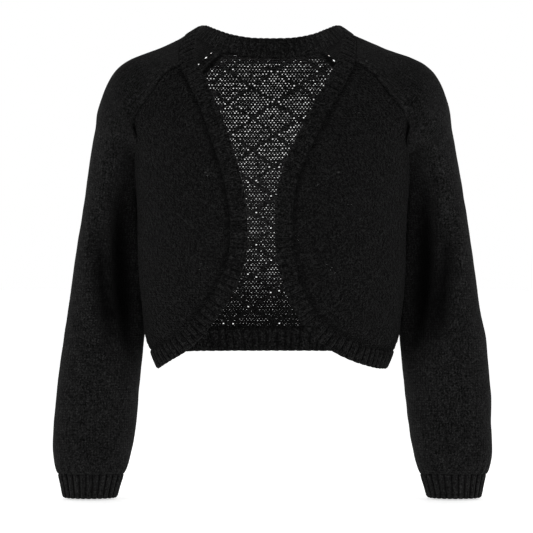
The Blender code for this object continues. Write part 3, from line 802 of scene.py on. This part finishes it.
def ribbed(name, lines, count, closed, finish, centre, seed, depth, seam_shade=1.0, calm=1.0, nape=0.0):
    """A strip of rib knit through lines that run along it, from its seam to its free edge.

    The strip has ribs on both faces, a rounded free edge, and ends that are closed. Depth and seam_shade set
    how dark its grooves and its seam are painted, a painted shade, calm how much of the ribs' height and of
    that shade is left high up, where the rib is stretched, and nape how dark it is painted behind the neck, a
    painted shadow where it lies in its own shade.
    """
    thick = RIB_THICKNESS
    phases = (np.arange(count)[:, None] + np.array(RIB_STEPS)[None, :]).ravel()
    if not closed:
        phases = np.append(phases, count)
    along = phases / count
    sway = 0.12 / count * np.sin(along * 61.0 + seed) + 0.1 / count * np.sin(along * 173.0 + 2 * seed)
    if not closed:
        along = np.clip(along + sway, 0, 1)
    measure = lengths(lines[0])
    at = along * measure[-1]
    rows = np.array([read_line(line, measure, at) for line in lines])
    shares = np.concatenate([[0.0], np.cumsum(np.linalg.norm(np.diff(rows, axis=0), axis=2).mean(1))])
    width = shares[-1]
    shares /= width

    def row_at(share):
        place = np.clip(np.searchsorted(shares, share) - 1, 0, len(shares) - 2)
        t = (share - shares[place]) / (shares[place + 1] - shares[place])
        return rows[place] * (1 - t) + rows[place + 1] * t

    mid = row_at(0.5)
    run = (np.roll(mid, -1, axis=0) - np.roll(mid, 1, axis=0)) if closed else np.gradient(mid, axis=0)
    normal = unit(np.cross(run, row_at(1.0) - row_at(0.0)))
    normal *= np.sign((normal * (mid - centre)).sum(1))[:, None]
    smooth = normal.copy()
    for _ in range(12):
        if closed:
            smooth = (np.roll(smooth, 1, axis=0) + smooth + np.roll(smooth, -1, axis=0)) / 3
        else:
            smooth[1:-1] = (smooth[:-2] + smooth[1:-1] + smooth[2:]) / 3
    normal = unit(smooth)

    rib = rib_profile(phases)
    fat = 1 + 0.16 * (scatter(np.floor(phases + 0.5), seed) - 0.5)
    strength = calm + (1 - calm) * ease(210, 350, -mid[:, 2])
    outer = RIB_CREST * (RIB_LEVEL + strength * (rib * fat - RIB_LEVEL)) - RIB_SINK
    # Painted shadow on the band behind the neck, deepest towards the corners of the neck, where it lies in its
    # own shade.
    behind = nape * ease(0, 30, mid[:, 1]) * (1 + 1.6 * swell(12, 42, 18, mid[:, 1]))
    inner = 0.9 * rib_profile(phases + 0.5)
    # (share across, how far of the rib's outer height, how far of its inner height, plain offset)
    section = [(0.0, 0.15, 0.0, -RIB_SEAM_DIP), (0.045, 0.6, 0.0, -1.1), (0.12, 1.0, 0.0, -0.2)]
    section += [(share, 1.0, 0.0, 0.0) for share in (0.25, 0.4, 0.55, 0.7, 0.83, 0.93)]
    section += [(1.0 - 0.6 / width, 0.75, 0.0, -0.35), (1.0, 0.3, 0.0, -thick * 0.35)]
    section += [(1.0, 0.0, 0.3, -thick * 0.65), (1.0 - 0.8 / width, 0.0, 0.7, -thick + 0.2)]
    section += [(share, 0.0, 1.0, -thick) for share in (0.92, 0.75, 0.55, 0.35, 0.15)]
    section += [(0.0, 0.0, 0.2, -thick + 0.3)]
    edge_out = unit(row_at(1.0) - row_at(0.9))
    grid, uv, shade = [], [], []
    for share, out, into, plain in section:
        offset = outer * out - inner * into + plain
        bulge = 0.5 * math.sin(math.pi * share)
        line = row_at(share) + normal * (offset + (bulge if plain > -thick / 2 else bulge * 0.6))[:, None]
        if share == 1.0:
            line = line + edge_out * (0.55 * rib + 0.25)[:, None]
        grid.append(line)
        travelled = share * width / COURSE
        uv.append(np.stack([phases * 2, np.full(len(phases), travelled)], axis=1))
        # Painted shade down in the grooves and along the seam edge.
        sunk = (1 - rib) * out + (1 - rib_profile(phases + 0.5)) * into
        shade.append(depth * strength * sunk + behind + seam_shade * (1 - ease(0.0, 0.12, share)))
    grid, uv = np.array(grid), np.array(uv)
    tall, wide = grid.shape[:2]
    number = np.arange(tall * wide).reshape(tall, wide)
    below = np.roll(number, -1, axis=0)
    if closed:
        after, after_below = np.roll(number, -1, axis=1), np.roll(below, -1, axis=1)
        faces = np.stack([number, after, after_below, below], axis=2).reshape(-1, 4)
        faces = faces.tolist()
    else:
        faces = np.stack([number[:, :-1], number[:, 1:], below[:, 1:], below[:, :-1]], axis=2)
        faces = faces.reshape(-1, 4).tolist()
        faces += [number[:, 0].tolist(), number[::-1, -1].tolist()]
    made = piece(name, grid.reshape(-1, 3), faces, uv.reshape(-1, 2), finish, np.array(shade).ravel())
    mesh = bmesh.new()
    mesh.from_mesh(made.data)
    bmesh.ops.recalc_face_normals(mesh, faces=mesh.faces)
    mesh.to_mesh(made.data)
    mesh.free()
    return made


# Points inside the body, which the outer faces of the band and of the hem face away from.
CHEST_MIDDLE = np.array([0.0, 0.0, -160.0])
HEM_MIDDLE = np.array([0.0, 0.0, -440.0])
# How finely the band's lines are laid beside each other.
BAND_POINTS = 4000


def make_band(finish):
    """The ribbed band, from one hem corner up round the neck and down to the other."""
    edges, seams = zip(*(BAND_LINES[side] for side in (-1, 1)))
    edge = np.vstack([edges[0][::-1], edges[1][1:]])
    seam = np.vstack([seams[0][::-1], seams[1][1:]])
    measure = lengths(seam)
    lines = []
    for share in (0.0, 0.35, 0.7, 1.0):
        line = seam + share * (edge - seam)
        start = (len(line) - 1) // 2
        front = np.abs(np.arange(len(line)) - start) >= (FRONT_RAGLAN_STATION + 1) * FINE
        line[front, 1] = body_y(line[front, 0], -line[front, 2], "front_depth")
        lines.append(read_line(line, measure / measure[-1], np.linspace(0, 1, BAND_POINTS)))
    count = round(measure[-1] / BAND_RIB_PITCH)
    return ribbed("edge_band", lines, count, False, finish, CHEST_MIDDLE, 1, depth=1.2, calm=0.55, nape=0.5)


def make_cuff(side, finish):
    """One ribbed cuff."""
    lines = []
    for drop in (592.0, 600.0, 609.0, 618.0, 625.5):
        inner = np.array([side * CUFF.at("inner_x", drop), CUFF_Y, -drop])
        outer = np.array([side * CUFF.at("outer_x", drop), CUFF_Y, -drop])
        lines.append(spread(tube_ring(inner, outer, CUFF.at("half_depth", drop)), np.linspace(0, 1, 900)))
    centre = np.array([side * 240.0, CUFF_Y, -610.0])
    name = "cuff_knit_left" if side > 0 else "cuff_knit_right"
    return ribbed(name, lines, CUFF_RIBS, True, finish, centre, 3 + side, depth=1.9, seam_shade=0.0)


def make_hem(finish):
    """The ribbed hem across the back."""
    reach, reach_at_back = HEM_DROP - HEM_TOP_DROP, HEM_DROP_AT_BACK - HEM_TOP_DROP_AT_BACK
    lines = []
    for share in (0.0, 0.35, 0.7, 1.0):
        line = hem_curve(HEM_TOP_DROP + share * reach, HEM_TOP_DROP_AT_BACK + share * reach_at_back, 400)
        lines.append(spread(line, np.linspace(0, 1, 1500)))
    count = round(lengths(lines[0])[-1] / HEM_RIB_PITCH)
    return ribbed("back_hem_knit", lines, count, False, finish, HEM_MIDDLE, 7, depth=1.6)


YOKE_ROWS = 41
RING_ROWS = 47
LAST_RING = 11.5
LINE_POINTS = 161


def sleeve_lines(side):
    """The sleeve's rows from neck to cuff as fine lines, each from its inner or front edge to the back."""
    neck = outside_seam(side, -TUCK)[BACK_RAGLAN_STATION * FINE : FRONT_RAGLAN_STATION * FINE + 1][::-1]
    shares = np.linspace(0, 1, LINE_POINTS)
    first = spread(yoke_arc(side, 0.0), shares)
    to_neck = spread(neck, shares) - first
    rows = []
    for along in np.linspace(0, 1, YOKE_ROWS):
        row = spread(yoke_arc(side, along), shares) + neck_fade(along) * to_neck
        row[0] = raglan_seam(side, along, "front")
        row[-1] = raglan_seam(side, along, "back")
        rows.append(row)
    for ring in np.linspace(0, LAST_RING, RING_ROWS)[1:]:
        rows.append(spread(sleeve_ring(side, ring), shares))
    return np.array(rows)


def smooth_rows(rows, first, passes):
    """Rows eased along the sleeve from a row onwards, so that no crease is left where two rules meet."""
    for _ in range(passes):
        eased = rows.copy()
        eased[1:-1] = (rows[:-2] + 2 * rows[1:-1] + rows[2:]) / 4
        weight = ease(first, first + 6, np.arange(len(rows)))[:, None, None] * np.ones((1, rows.shape[1], 1))
        # The raglan seams and the two rows at the cuff stay where they are.
        near_edge = np.minimum(np.arange(rows.shape[1]), np.arange(rows.shape[1])[::-1])
        weight[:YOKE_ROWS] *= ease(0, 10, near_edge)[None, :, None]
        weight[-2:] = 0
        rows = rows + weight * (eased - rows)
    return rows


SLEEVE_ROW_STEP = 3.2
SLEEVE_COLUMNS = 132

# The eyelets beside the raglan seams: where they start and stop along the seam, and how far in they lie.
EYELET_SPACING = 12.0
FIRST_EYELET = 14.0
FRONT_EYELETS_END = 100.0
BACK_EYELETS_LEFT_OUT = 20.0
EYELET_INSET = {(-1, "front"): 12.0, (1, "front"): 12.0, (-1, "back"): 13.5, (1, "back"): 6.0}
EYELET_SHAPE = np.array([1.0, 1.45])

# The two soft folds in the bend of the arm: where round the sleeve, by share, and how deep, by drop.
FOLD = Table(
    "drop place depth",
    (165, 0.200, 0),
    (205, 0.195, 5),
    (245, 0.190, 13),
    (298, 0.180, 22),
    (351, 0.160, 26),
    (400, 0.140, 16),
    (440, 0.112, 4),
    (475, 0.110, 0),
)
OUTER_FOLD = Table(
    "drop place depth",
    (235, 0.315, 0),
    (285, 0.305, 10),
    (325, 0.290, 16),
    (364, 0.265, 16),
    (404, 0.235, 10),
    (440, 0.200, 0),
)
FOLD_HALF_WIDTH = 0.11
OUTER_FOLD_HALF_WIDTH = 0.065
# How far the sleeve stands off its plain form, over the armhole, the shoulder and the left forearm.
ARMHOLE_BRIDGE = 12.0
SHOULDER_SWELL = {-1: 2.5, 1: 2.2}
LEFT_FOREARM_SWELL = 4.0
# How far the raglan seams sink on the shoulder, and how much more the sleeve laps over them low down.
SLEEVE_SEAM_DIP = 1.6
SLEEVE_LAP = 3.6
# The gathers above the cuff, and how far up they reach.
PUCKER = 1.0
PUCKER_REACH = 38.0


def arm_fold(share, drop):
    """The depth of the two soft folds down the front of the sleeve, beside the body."""
    total = np.zeros(share.shape)
    for fold, half_width in ((FOLD, FOLD_HALF_WIDTH), (OUTER_FOLD, OUTER_FOLD_HALF_WIDTH)):
        off = np.clip((share - fold.at("place", drop)) / half_width, -1, 1)
        total += fold.at("depth", drop) * (1 - off**2) ** 2
    return total


def swell(low, high, soft, value):
    """1 between low and high, and 0 beyond a soft stretch on each side."""
    return ease(low - soft, low, value) * (1 - ease(high, high + soft, value))


def lengths_across(rows):
    """The distance along each row of a sleeve, at each of its points."""
    steps = np.linalg.norm(np.diff(rows, axis=1), axis=2)
    return np.concatenate([np.zeros((len(rows), 1)), np.cumsum(steps, axis=1)], axis=1)


def sleeve_relief(side, rows, at, join):
    """How far the cloth of a sleeve stands off its plain form."""
    tall, wide = rows.shape[:2]
    across = lengths_across(rows)
    flat = rows.reshape(-1, 3)
    uneven = 1.6 * ripple(flat, 120, 11 + side) + 0.35 * ripple(flat, 26, 14 + side)
    relief = uneven.reshape(tall, wide)
    share = np.linspace(0, 1, wide)[None, :] * np.ones((tall, 1))
    drop = -rows[:, :, 2]
    relief -= arm_fold(share, drop)
    # The cloth bridges the front of the armhole, and is fuller over the shoulder and the left forearm.
    low_armhole = ease(126, 148, drop) * (1 - ease(180, 235, drop))
    relief += ARMHOLE_BRIDGE * low_armhole * np.sin(math.pi * np.clip(share / 0.13, 0, 1)) ** 2
    outside = np.sin(math.pi * share) ** 2
    relief += SHOULDER_SWELL[side] * swell(55, 115, 25, drop) * outside
    if side > 0:
        relief += LEFT_FOREARM_SWELL * swell(420, 490, 45, drop) * outside
    from_cuff = at[-1] - at
    angle = np.linspace(0, 2 * math.pi, wide)
    puckers = -np.cos(angle * CUFF_RIBS) * (0.7 + 0.3 * np.sin(angle * 5 + 2))
    relief += PUCKER * (1 - ease(0, PUCKER_REACH, from_cuff))[:, None] * puckers[None, :]
    relief -= 0.5 * (1 - ease(0, 6, from_cuff))[:, None]
    to_edge = np.minimum(across, across[:, -1:] - across)
    # The seams lie in a groove up on the shoulder, and the sleeve laps over them low in the armhole.
    lap = SLEEVE_LAP * ease(95, 130, drop[: join + 1]) - SLEEVE_SEAM_DIP
    relief[: join + 1] += lap * (1 - ease(0.0, 4.5, to_edge[: join + 1]))
    return relief * ease(0, 14, at)[:, None] - 1.0 * (1 - ease(0, 3.5, at))[:, None]


def sleeve_shade(share, drop, at, to_edge):
    """The painted shade of a sleeve: painted shade in its seams, its folds, at the nape and over the top of the
    shoulder, a painted highlight beside the seams, and no seam shade low in the front of the armhole.
    """
    # Painted shade in the seams' grooves and a painted highlight on the wale beside them, both left out low in
    # the front of the armhole.
    shade = 1.1 * (1 - ease(0.0, 3.5, to_edge)) - 0.5 * swell(5.0, 6.5, 2.0, to_edge)
    shade *= 1 - ease(105, 125, drop) * (1 - ease(0.4, 0.6, share))
    # Painted shadow in the two folds.
    shade += 1.7 * np.clip((arm_fold(share, drop) - 4) / 13, 0, 1)
    # Painted shadow at the back of the neck, where the inside gets little light.
    shade += 0.8 * (1 - ease(20, 55, at))[:, None] * ease(0.5, 0.65, share)
    # Painted shade over the top of the shoulder, which the lamps light more.
    return shade + 0.48 * (1 - ease(70, 125, drop))


def cut_eyelets(side, rows, normals, join, shade):
    """Opens the eyelets beside both raglan seams, with painted shade round them and a painted highlight beside
    the front ones. It returns which faces are cut away.
    """
    cut = np.zeros((rows.shape[0] - 1, rows.shape[1] - 1), bool)
    for face, end in (("front", 0), ("back", -1)):
        measure = lengths(rows[: join + 1, end])
        last = FRONT_EYELETS_END if face == "front" else measure[-1] - BACK_EYELETS_LEFT_OUT
        for number, place in enumerate(np.arange(FIRST_EYELET, last, EYELET_SPACING)):
            row = int(np.argmin(np.abs(measure - place)))
            away = np.linalg.norm(rows[row] - rows[row, end], axis=1)
            half = slice(1, rows.shape[1] // 2) if end == 0 else slice(rows.shape[1] // 2, -1)
            inset = EYELET_INSET[side, face] + (6 * ease(70, 95, place) if face == "front" else 0)
            column = half.start + int(np.argmin(np.abs(away[half] - inset)))
            centre = rows[row, column].copy()
            long = rows[row + 1, end] - rows[row - 1, end]
            long /= np.linalg.norm(long)
            wide = np.cross(normals[row, column], long)
            big = face == "back" and number == 1
            size = 1.5 if big else (1.7 if face == "front" else 1.1) + 0.3 * scatter(number, 21 + side)
            for down, aside in ((-1, -1), (-1, 0), (-1, 1), (0, 1), (1, 1), (1, 0), (1, -1), (0, -1)):
                spot = rows[row + down, column + aside] - centre
                way = np.array([spot @ wide, spot @ long])
                way /= np.linalg.norm(way)
                way *= EYELET_SHAPE * size
                rows[row + down, column + aside] = centre + way[0] * wide + way[1] * long
                # Painted shade round each eyelet, and a painted highlight on one side of each front one.
                shade[row + down, column + aside] = -0.8 if face == "front" and aside > 0 else 1.8
            cut[row - 1 : row + 1, column - 1 : column + 1] = True
    return cut


def make_sleeve(side, finish):
    """One raglan sleeve with eyelets beside its raglan seams, a soft fold and gathers above the cuff."""
    coarse = smooth_rows(sleeve_lines(side), 22, 14)
    along = lengths(coarse[:, LINE_POINTS // 2])
    underarm = along[YOKE_ROWS - 1]
    at = np.linspace(0, along[-1], round(along[-1] / SLEEVE_ROW_STEP) + 1)
    at = np.sort(np.append(at, underarm))
    join = int(np.searchsorted(at, underarm))
    place = np.interp(at, along, np.arange(len(coarse)))
    before = np.minimum(place.astype(int), len(coarse) - 2)
    part = (place - before)[:, None, None]
    rows = coarse[before] * (1 - part) + coarse[before + 1] * part
    shares = np.linspace(0, 1, SLEEVE_COLUMNS + 1)
    rows = np.array([spread(row, shares) for row in rows])
    tall, wide = rows.shape[:2]
    normals = np.cross(np.gradient(rows, axis=0), np.gradient(rows, axis=1))
    normals /= np.maximum(np.linalg.norm(normals, axis=2), 1e-9)[:, :, None]
    if (normals[: join, wide // 2, 2]).sum() < 0:
        normals = -normals
    rows = rows + normals * sleeve_relief(side, rows, at, join)[:, :, None]
    across = lengths_across(rows)
    centred = across - across[:, -1:] / 2
    uv = np.stack([centred / WALE, np.broadcast_to(at[:, None] / COURSE, centred.shape)], axis=2)
    rows[join:, 0] = rows[join:, -1] = (rows[join:, 0] + rows[join:, -1]) / 2
    to_edge = np.minimum(across, across[:, -1:] - across)
    to_edge[join:] = 99.0
    shade = sleeve_shade(np.broadcast_to(shares, (tall, wide)), -rows[:, :, 2], at, to_edge)
    cut = cut_eyelets(side, rows, normals, join, shade)
    # The edges of the raglan seams reach in under the body's edges.
    for end, beside in ((0, 1), (-1, -2)):
        under = unit(rows[:join, end] - rows[:join, beside])
        fade = (1 - ease(join - 12, join - 2, np.arange(join)))[:, None]
        sink = 1.2 * (1 - ease(95, 130, -rows[:join, end, 2]))[:, None]
        rows[:join, end] += fade * (TUCK * under - sink * normals[:join, end])
    # Below the underarm the last column of a row is its first.
    number = np.arange(tall * wide).reshape(tall, wide)
    number[join:, -1] = number[join:, 0]
    quads = np.stack([number[:-1, :-1], number[:-1, 1:], number[1:, 1:], number[1:, :-1]], axis=2)
    points = rows.reshape(-1, 3)
    faces = outward_faces(points, quads[~cut], normals.reshape(-1, 3))
    name = "sleeve_knit_left" if side > 0 else "sleeve_knit_right"
    made = piece(name, points, faces, uv.reshape(-1, 2), finish, shade.ravel())
    wall(made, WALL)
    return made


YARN_SURFACE = {
    "Roughness": 0.95,
    "Specular IOR Level": 0.04,
    "Sheen Weight": 0.028,
    "Sheen Roughness": 0.45,
    "Sheen Tint": (0.8, 0.8, 0.8, 1),
}
# How much a painted shade of 1 darkens the yarn, and the least and the most that is left of its colour, the
# most where painted highlights lighten it.
SHADE_STRENGTH = 0.5
SHADE_LIMITS = (0.1, 1.6)
# The yarn's colour ramp: where each stop lies, and its tint as a share of the finish's brightness.
DARKEST_TINT, MIDDLE_TINT, LIGHTEST_TINT = 0.06, 1.1, 3.2
MIDDLE_STOP = 0.55


def set_inputs(node, values):
    """Sets each named input of a node to its number or colour."""
    for name, value in values.items():
        node.inputs[name].default_value = value


def maths(tree, operation, one, two=None, three=None):
    """A math node with numbers or sockets as its inputs."""
    node = tree.nodes.new("ShaderNodeMath")
    node.operation = operation
    for index, value in enumerate((one, two, three)):
        if value is None:
            continue
        if isinstance(value, (int, float)):
            node.inputs[index].default_value = value
        else:
            tree.links.new(value, node.inputs[index])
    return node.outputs[0]


def noise(tree, vector, scale, detail=3.0, rough=0.55):
    node = tree.nodes.new("ShaderNodeTexNoise")
    set_inputs(node, {"Scale": scale, "Detail": detail, "Roughness": rough})
    tree.links.new(vector, node.inputs["Vector"])
    return node.outputs["Fac"]


def wave(tree, value, turns, size, middle):
    """A cosine wave of a value, of this size about this middle."""
    turned = maths(tree, "COSINE", maths(tree, "MULTIPLY", value, turns * 2 * math.pi))
    return maths(tree, "MULTIPLY_ADD", turned, size, middle)


def stitch_height(tree, u, v, kind):
    """The height of the yarn over one stitch, from 0 to 1."""
    if kind == "plain":
        # Two leaning strands to a stitch make the small V of plain knit.
        aside = maths(tree, "ABSOLUTE", maths(tree, "SUBTRACT", maths(tree, "FRACT", u), 0.5))
        off = maths(tree, "ABSOLUTE", maths(tree, "SUBTRACT", aside, 0.25))
        strand = maths(tree, "MULTIPLY_ADD", off, -3.6, 1.0)
        loops = wave(tree, maths(tree, "MULTIPLY_ADD", aside, -1.1, v), 1, 0.2, 0.8)
        wales = wave(tree, u, 1, -0.3, 0.7)
        return maths(tree, "MULTIPLY", maths(tree, "MULTIPLY", strand, loops), wales)
    # The other face of the knit shows a short round bar on each stitch, set off from row to row.
    level = maths(tree, "ADD", v, wave(tree, u, 1, 0.16, 0.0))
    return maths(tree, "MULTIPLY", wave(tree, level, 1, -0.4, 0.6), wave(tree, u, 2, 0.22, 0.78))


def knit_material(name, kind, brightness, wale, grain, bump):
    """Black knit: yarn relief from the stitch coordinates, uneven dye, loose fibre and a soft sheen.

    Wale sets how much darker the stitches' hollows are painted than their crests, a painted shade, and grain
    how strongly the uneven yarn shows.
    """
    made = bpy.data.materials.new(name)
    made.use_nodes = True
    tree = made.node_tree
    shader = tree.nodes["Principled BSDF"]
    where = tree.nodes.new("ShaderNodeUVMap")
    where.uv_map = "stitch"
    split = tree.nodes.new("ShaderNodeSeparateXYZ")
    tree.links.new(where.outputs["UV"], split.inputs[0])
    place = tree.nodes.new("ShaderNodeTexCoord").outputs["Object"]
    loose = 1.1 if kind == "turned" else 0.45
    wander = maths(tree, "MULTIPLY_ADD", noise(tree, place, 170.0, 1.0), loose, -0.5 * loose)
    u = maths(tree, "ADD", split.outputs["X"], wander)
    v = maths(tree, "ADD", split.outputs["Y"], wander)
    yarn = stitch_height(tree, u, v, kind)
    fuzz = noise(tree, place, 1300.0, 4.0, 0.7)
    clump = noise(tree, place, 320.0, 2.0, 0.6)
    height = maths(tree, "MULTIPLY_ADD", fuzz, 0.45, yarn)
    height = maths(tree, "MULTIPLY_ADD", clump, 1.2 * grain, height)
    relief = tree.nodes.new("ShaderNodeBump")
    set_inputs(relief, {"Strength": 1.0, "Distance": bump})
    tree.links.new(height, relief.inputs["Height"])
    tree.links.new(relief.outputs["Normal"], shader.inputs["Normal"])
    # The dye is a little uneven, and the stitches' crests are painted lighter than their hollows, a painted
    # shade at the scale of a stitch.
    tone = maths(tree, "MULTIPLY_ADD", yarn, wale, 0.42 - 0.33 * wale)
    speck = noise(tree, place, 620.0, 2.0, 0.6)
    dye = noise(tree, place, 60.0, 4.0, 0.6)
    for spots, size in ((dye, 0.5), (speck, 1.9 * grain), (clump, 1.4 * grain)):
        tone = maths(tree, "ADD", tone, maths(tree, "MULTIPLY_ADD", spots, size, -0.5 * size))
    # The shade attribute carries painted shade and painted highlights, and scales the colour by them.
    sunk = tree.nodes.new("ShaderNodeAttribute")
    sunk.attribute_name = "shade"
    least, most = SHADE_LIMITS
    painted_shade_factor = maths(tree, "MULTIPLY_ADD", sunk.outputs["Fac"], -SHADE_STRENGTH, 1.0)
    painted_shade_factor = maths(tree, "MINIMUM", maths(tree, "MAXIMUM", painted_shade_factor, least), most)
    ramp = tree.nodes.new("ShaderNodeValToRGB")
    ramp.color_ramp.elements.new(MIDDLE_STOP)
    for stop, tint in zip(ramp.color_ramp.elements, (DARKEST_TINT, MIDDLE_TINT, LIGHTEST_TINT)):
        level = tint * brightness
        stop.color = (level, level, level, 1)
    tree.links.new(tone, ramp.inputs["Fac"])
    dimmed = tree.nodes.new("ShaderNodeVectorMath")
    dimmed.operation = "SCALE"
    tree.links.new(ramp.outputs["Color"], dimmed.inputs[0])
    tree.links.new(painted_shade_factor, dimmed.inputs["Scale"])
    tree.links.new(dimmed.outputs[0], shader.inputs["Base Color"])
    set_inputs(shader, YARN_SURFACE)
    return made


def studio():
    """A white room without edges: a pale floor, and even light that is softest from the front."""
    world = bpy.data.worlds.new("studio")
    world.use_nodes = True
    tree = world.node_tree
    split = tree.nodes.new("ShaderNodeSeparateXYZ")
    tree.links.new(tree.nodes.new("ShaderNodeTexCoord").outputs["Generated"], split.inputs[0])
    falloff = tree.nodes.new("ShaderNodeMapRange")
    falloff.interpolation_type = "SMOOTHSTEP"
    for name, value in zip(("From Min", "From Max", "To Min", "To Max"), STUDIO_FALLOFF):
        falloff.inputs[name].default_value = value
    tree.links.new(split.outputs["Y"], falloff.inputs["Value"])
    tree.links.new(falloff.outputs["Result"], tree.nodes["Background"].inputs["Strength"])
    tree.nodes["Background"].inputs["Color"].default_value = (1, 1, 1, 1)
    bpy.context.scene.world = world
    for name, place, target, size, power in LAMPS:
        lamp = bpy.data.lights.new(name, "AREA")
        lamp.size = size
        lamp.energy = power
        shone = linked(name, lamp)
        shone.location = place
        shone.rotation_euler = (Vector(target) - Vector(place)).to_track_quat("-Z", "Y").to_euler()
    data = bpy.data.meshes.new("floor")
    level = -FLOOR_DROP * 0.001
    signs = ((-1, -1), (1, -1), (1, 1), (-1, 1))
    corners = [(x * FLOOR_REACH, y * FLOOR_REACH, level) for x, y in signs]
    data.from_pydata(corners, [], [(0, 1, 2, 3)])
    paint = bpy.data.materials.new("floor_paint")
    paint.use_nodes = True
    set_inputs(paint.node_tree.nodes["Principled BSDF"], FLOOR_SURFACE)
    data.materials.append(paint)
    linked("floor", data)


FLOOR_DROP = 628.0
FLOOR_REACH = 30.0
FLOOR_SURFACE = {
    "Base Color": (0.9, 0.9, 0.9, 1),
    "Roughness": 0.9,
    "Specular IOR Level": 0.1,
    "Emission Color": (1, 1, 1, 1),
    "Emission Strength": 0.61,
}
# The world's light by how far back it comes from: (from, to, strength in front, strength behind).
STUDIO_FALLOFF = (-0.5, 0.85, 0.1, 1.0)

# Soft boxes at both sides and two small lamps behind the fronts: (name, place, target, size, watts).
LAMPS = (
    ("left_light", (2.2, -1.85, 0.3), (0.0, 0.0, -0.3), 1.2, 34.0),
    ("right_light", (-2.2, -1.85, 0.3), (0.0, 0.0, -0.3), 1.2, 34.0),
    ("inside_left", (0.11, -0.05, -0.24), (0.0, 0.1, -0.12), 0.1, 0.5),
    ("inside_right", (-0.11, -0.05, -0.24), (0.0, 0.1, -0.12), 0.1, 0.5),
)
CAMERA_DISTANCE = 3.5
MM_PER_PIXEL = 1.33
IMAGE_SIDE = 533
IMAGE_ORIGIN = (272.0, 26.0)


def camera():
    """A level camera in front, framed as the photograph is."""
    data = bpy.data.cameras.new("camera")
    data.sensor_width = 36.0
    data.lens = data.sensor_width * CAMERA_DISTANCE * 1000 / MM_PER_PIXEL / IMAGE_SIDE
    data.clip_end = 100.0
    made = linked("camera", data)
    across = (IMAGE_SIDE / 2 - IMAGE_ORIGIN[0]) * MM_PER_PIXEL * 0.001
    height = (IMAGE_ORIGIN[1] - IMAGE_SIDE / 2) * MM_PER_PIXEL * 0.001
    made.location = (across, -CAMERA_DISTANCE, height)
    made.rotation_euler = (math.pi / 2, 0.0, 0.0)
    bpy.context.scene.camera = made


# The finishes: (name, stitch, brightness, how strongly wales show, how strongly grain shows, bump in metres).
# How strongly wales show is how much darker the stitches' hollows are painted, a painted shade. The hem is
# painted lighter than the band to make up for the lesser light inside the garment.
FINISHES = (
    ("sleeve_knit", "plain", 0.0090, 0.7, 1.1, 0.0015),
    ("lace_knit", "turned", 0.0034, 0.25, 4.6, 0.0026),
    ("rib_knit", "plain", 0.0063, 0.4, 1.6, 0.0013),
    ("hem_knit", "plain", 0.0120, 0.4, 1.2, 0.0013),
    ("cuff_knit", "plain", 0.0126, 0.4, 0.9, 0.0012),
)


def dress(made, node):
    """Hangs a piece of cloth from the root and hides the solid that it stands in for."""
    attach(made, "root")
    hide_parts(node)


def main():
    scene = bpy.context.scene
    scene.view_settings.view_transform = "Standard"
    plain, lace, rib, hem_rib, cuff_rib = (knit_material(*finish) for finish in FINISHES)
    camera()
    studio()
    back = openwork("back_knit", BACK, *back_outline(), BACK_CROSSING, lace, **BACK_LACE)
    dress(back, "back")
    for side, name in ((-1, "right"), (1, "left")):
        crossing = FRONT.flatten([(-side * FRONT_CROSSING[0], 0.0, -FRONT_CROSSING[1])])[0]
        front = openwork("front_knit_" + name, FRONT, *front_outline(side), crossing, lace, **FRONT_LACE)
        dress(front, "front_" + name)
        dress(make_sleeve(side, plain), "sleeve_" + name)
        dress(make_cuff(side, cuff_rib), "cuff_" + name)
    dress(make_band(rib), "front_band")
    dress(make_hem(hem_rib), "back_hem")


main()
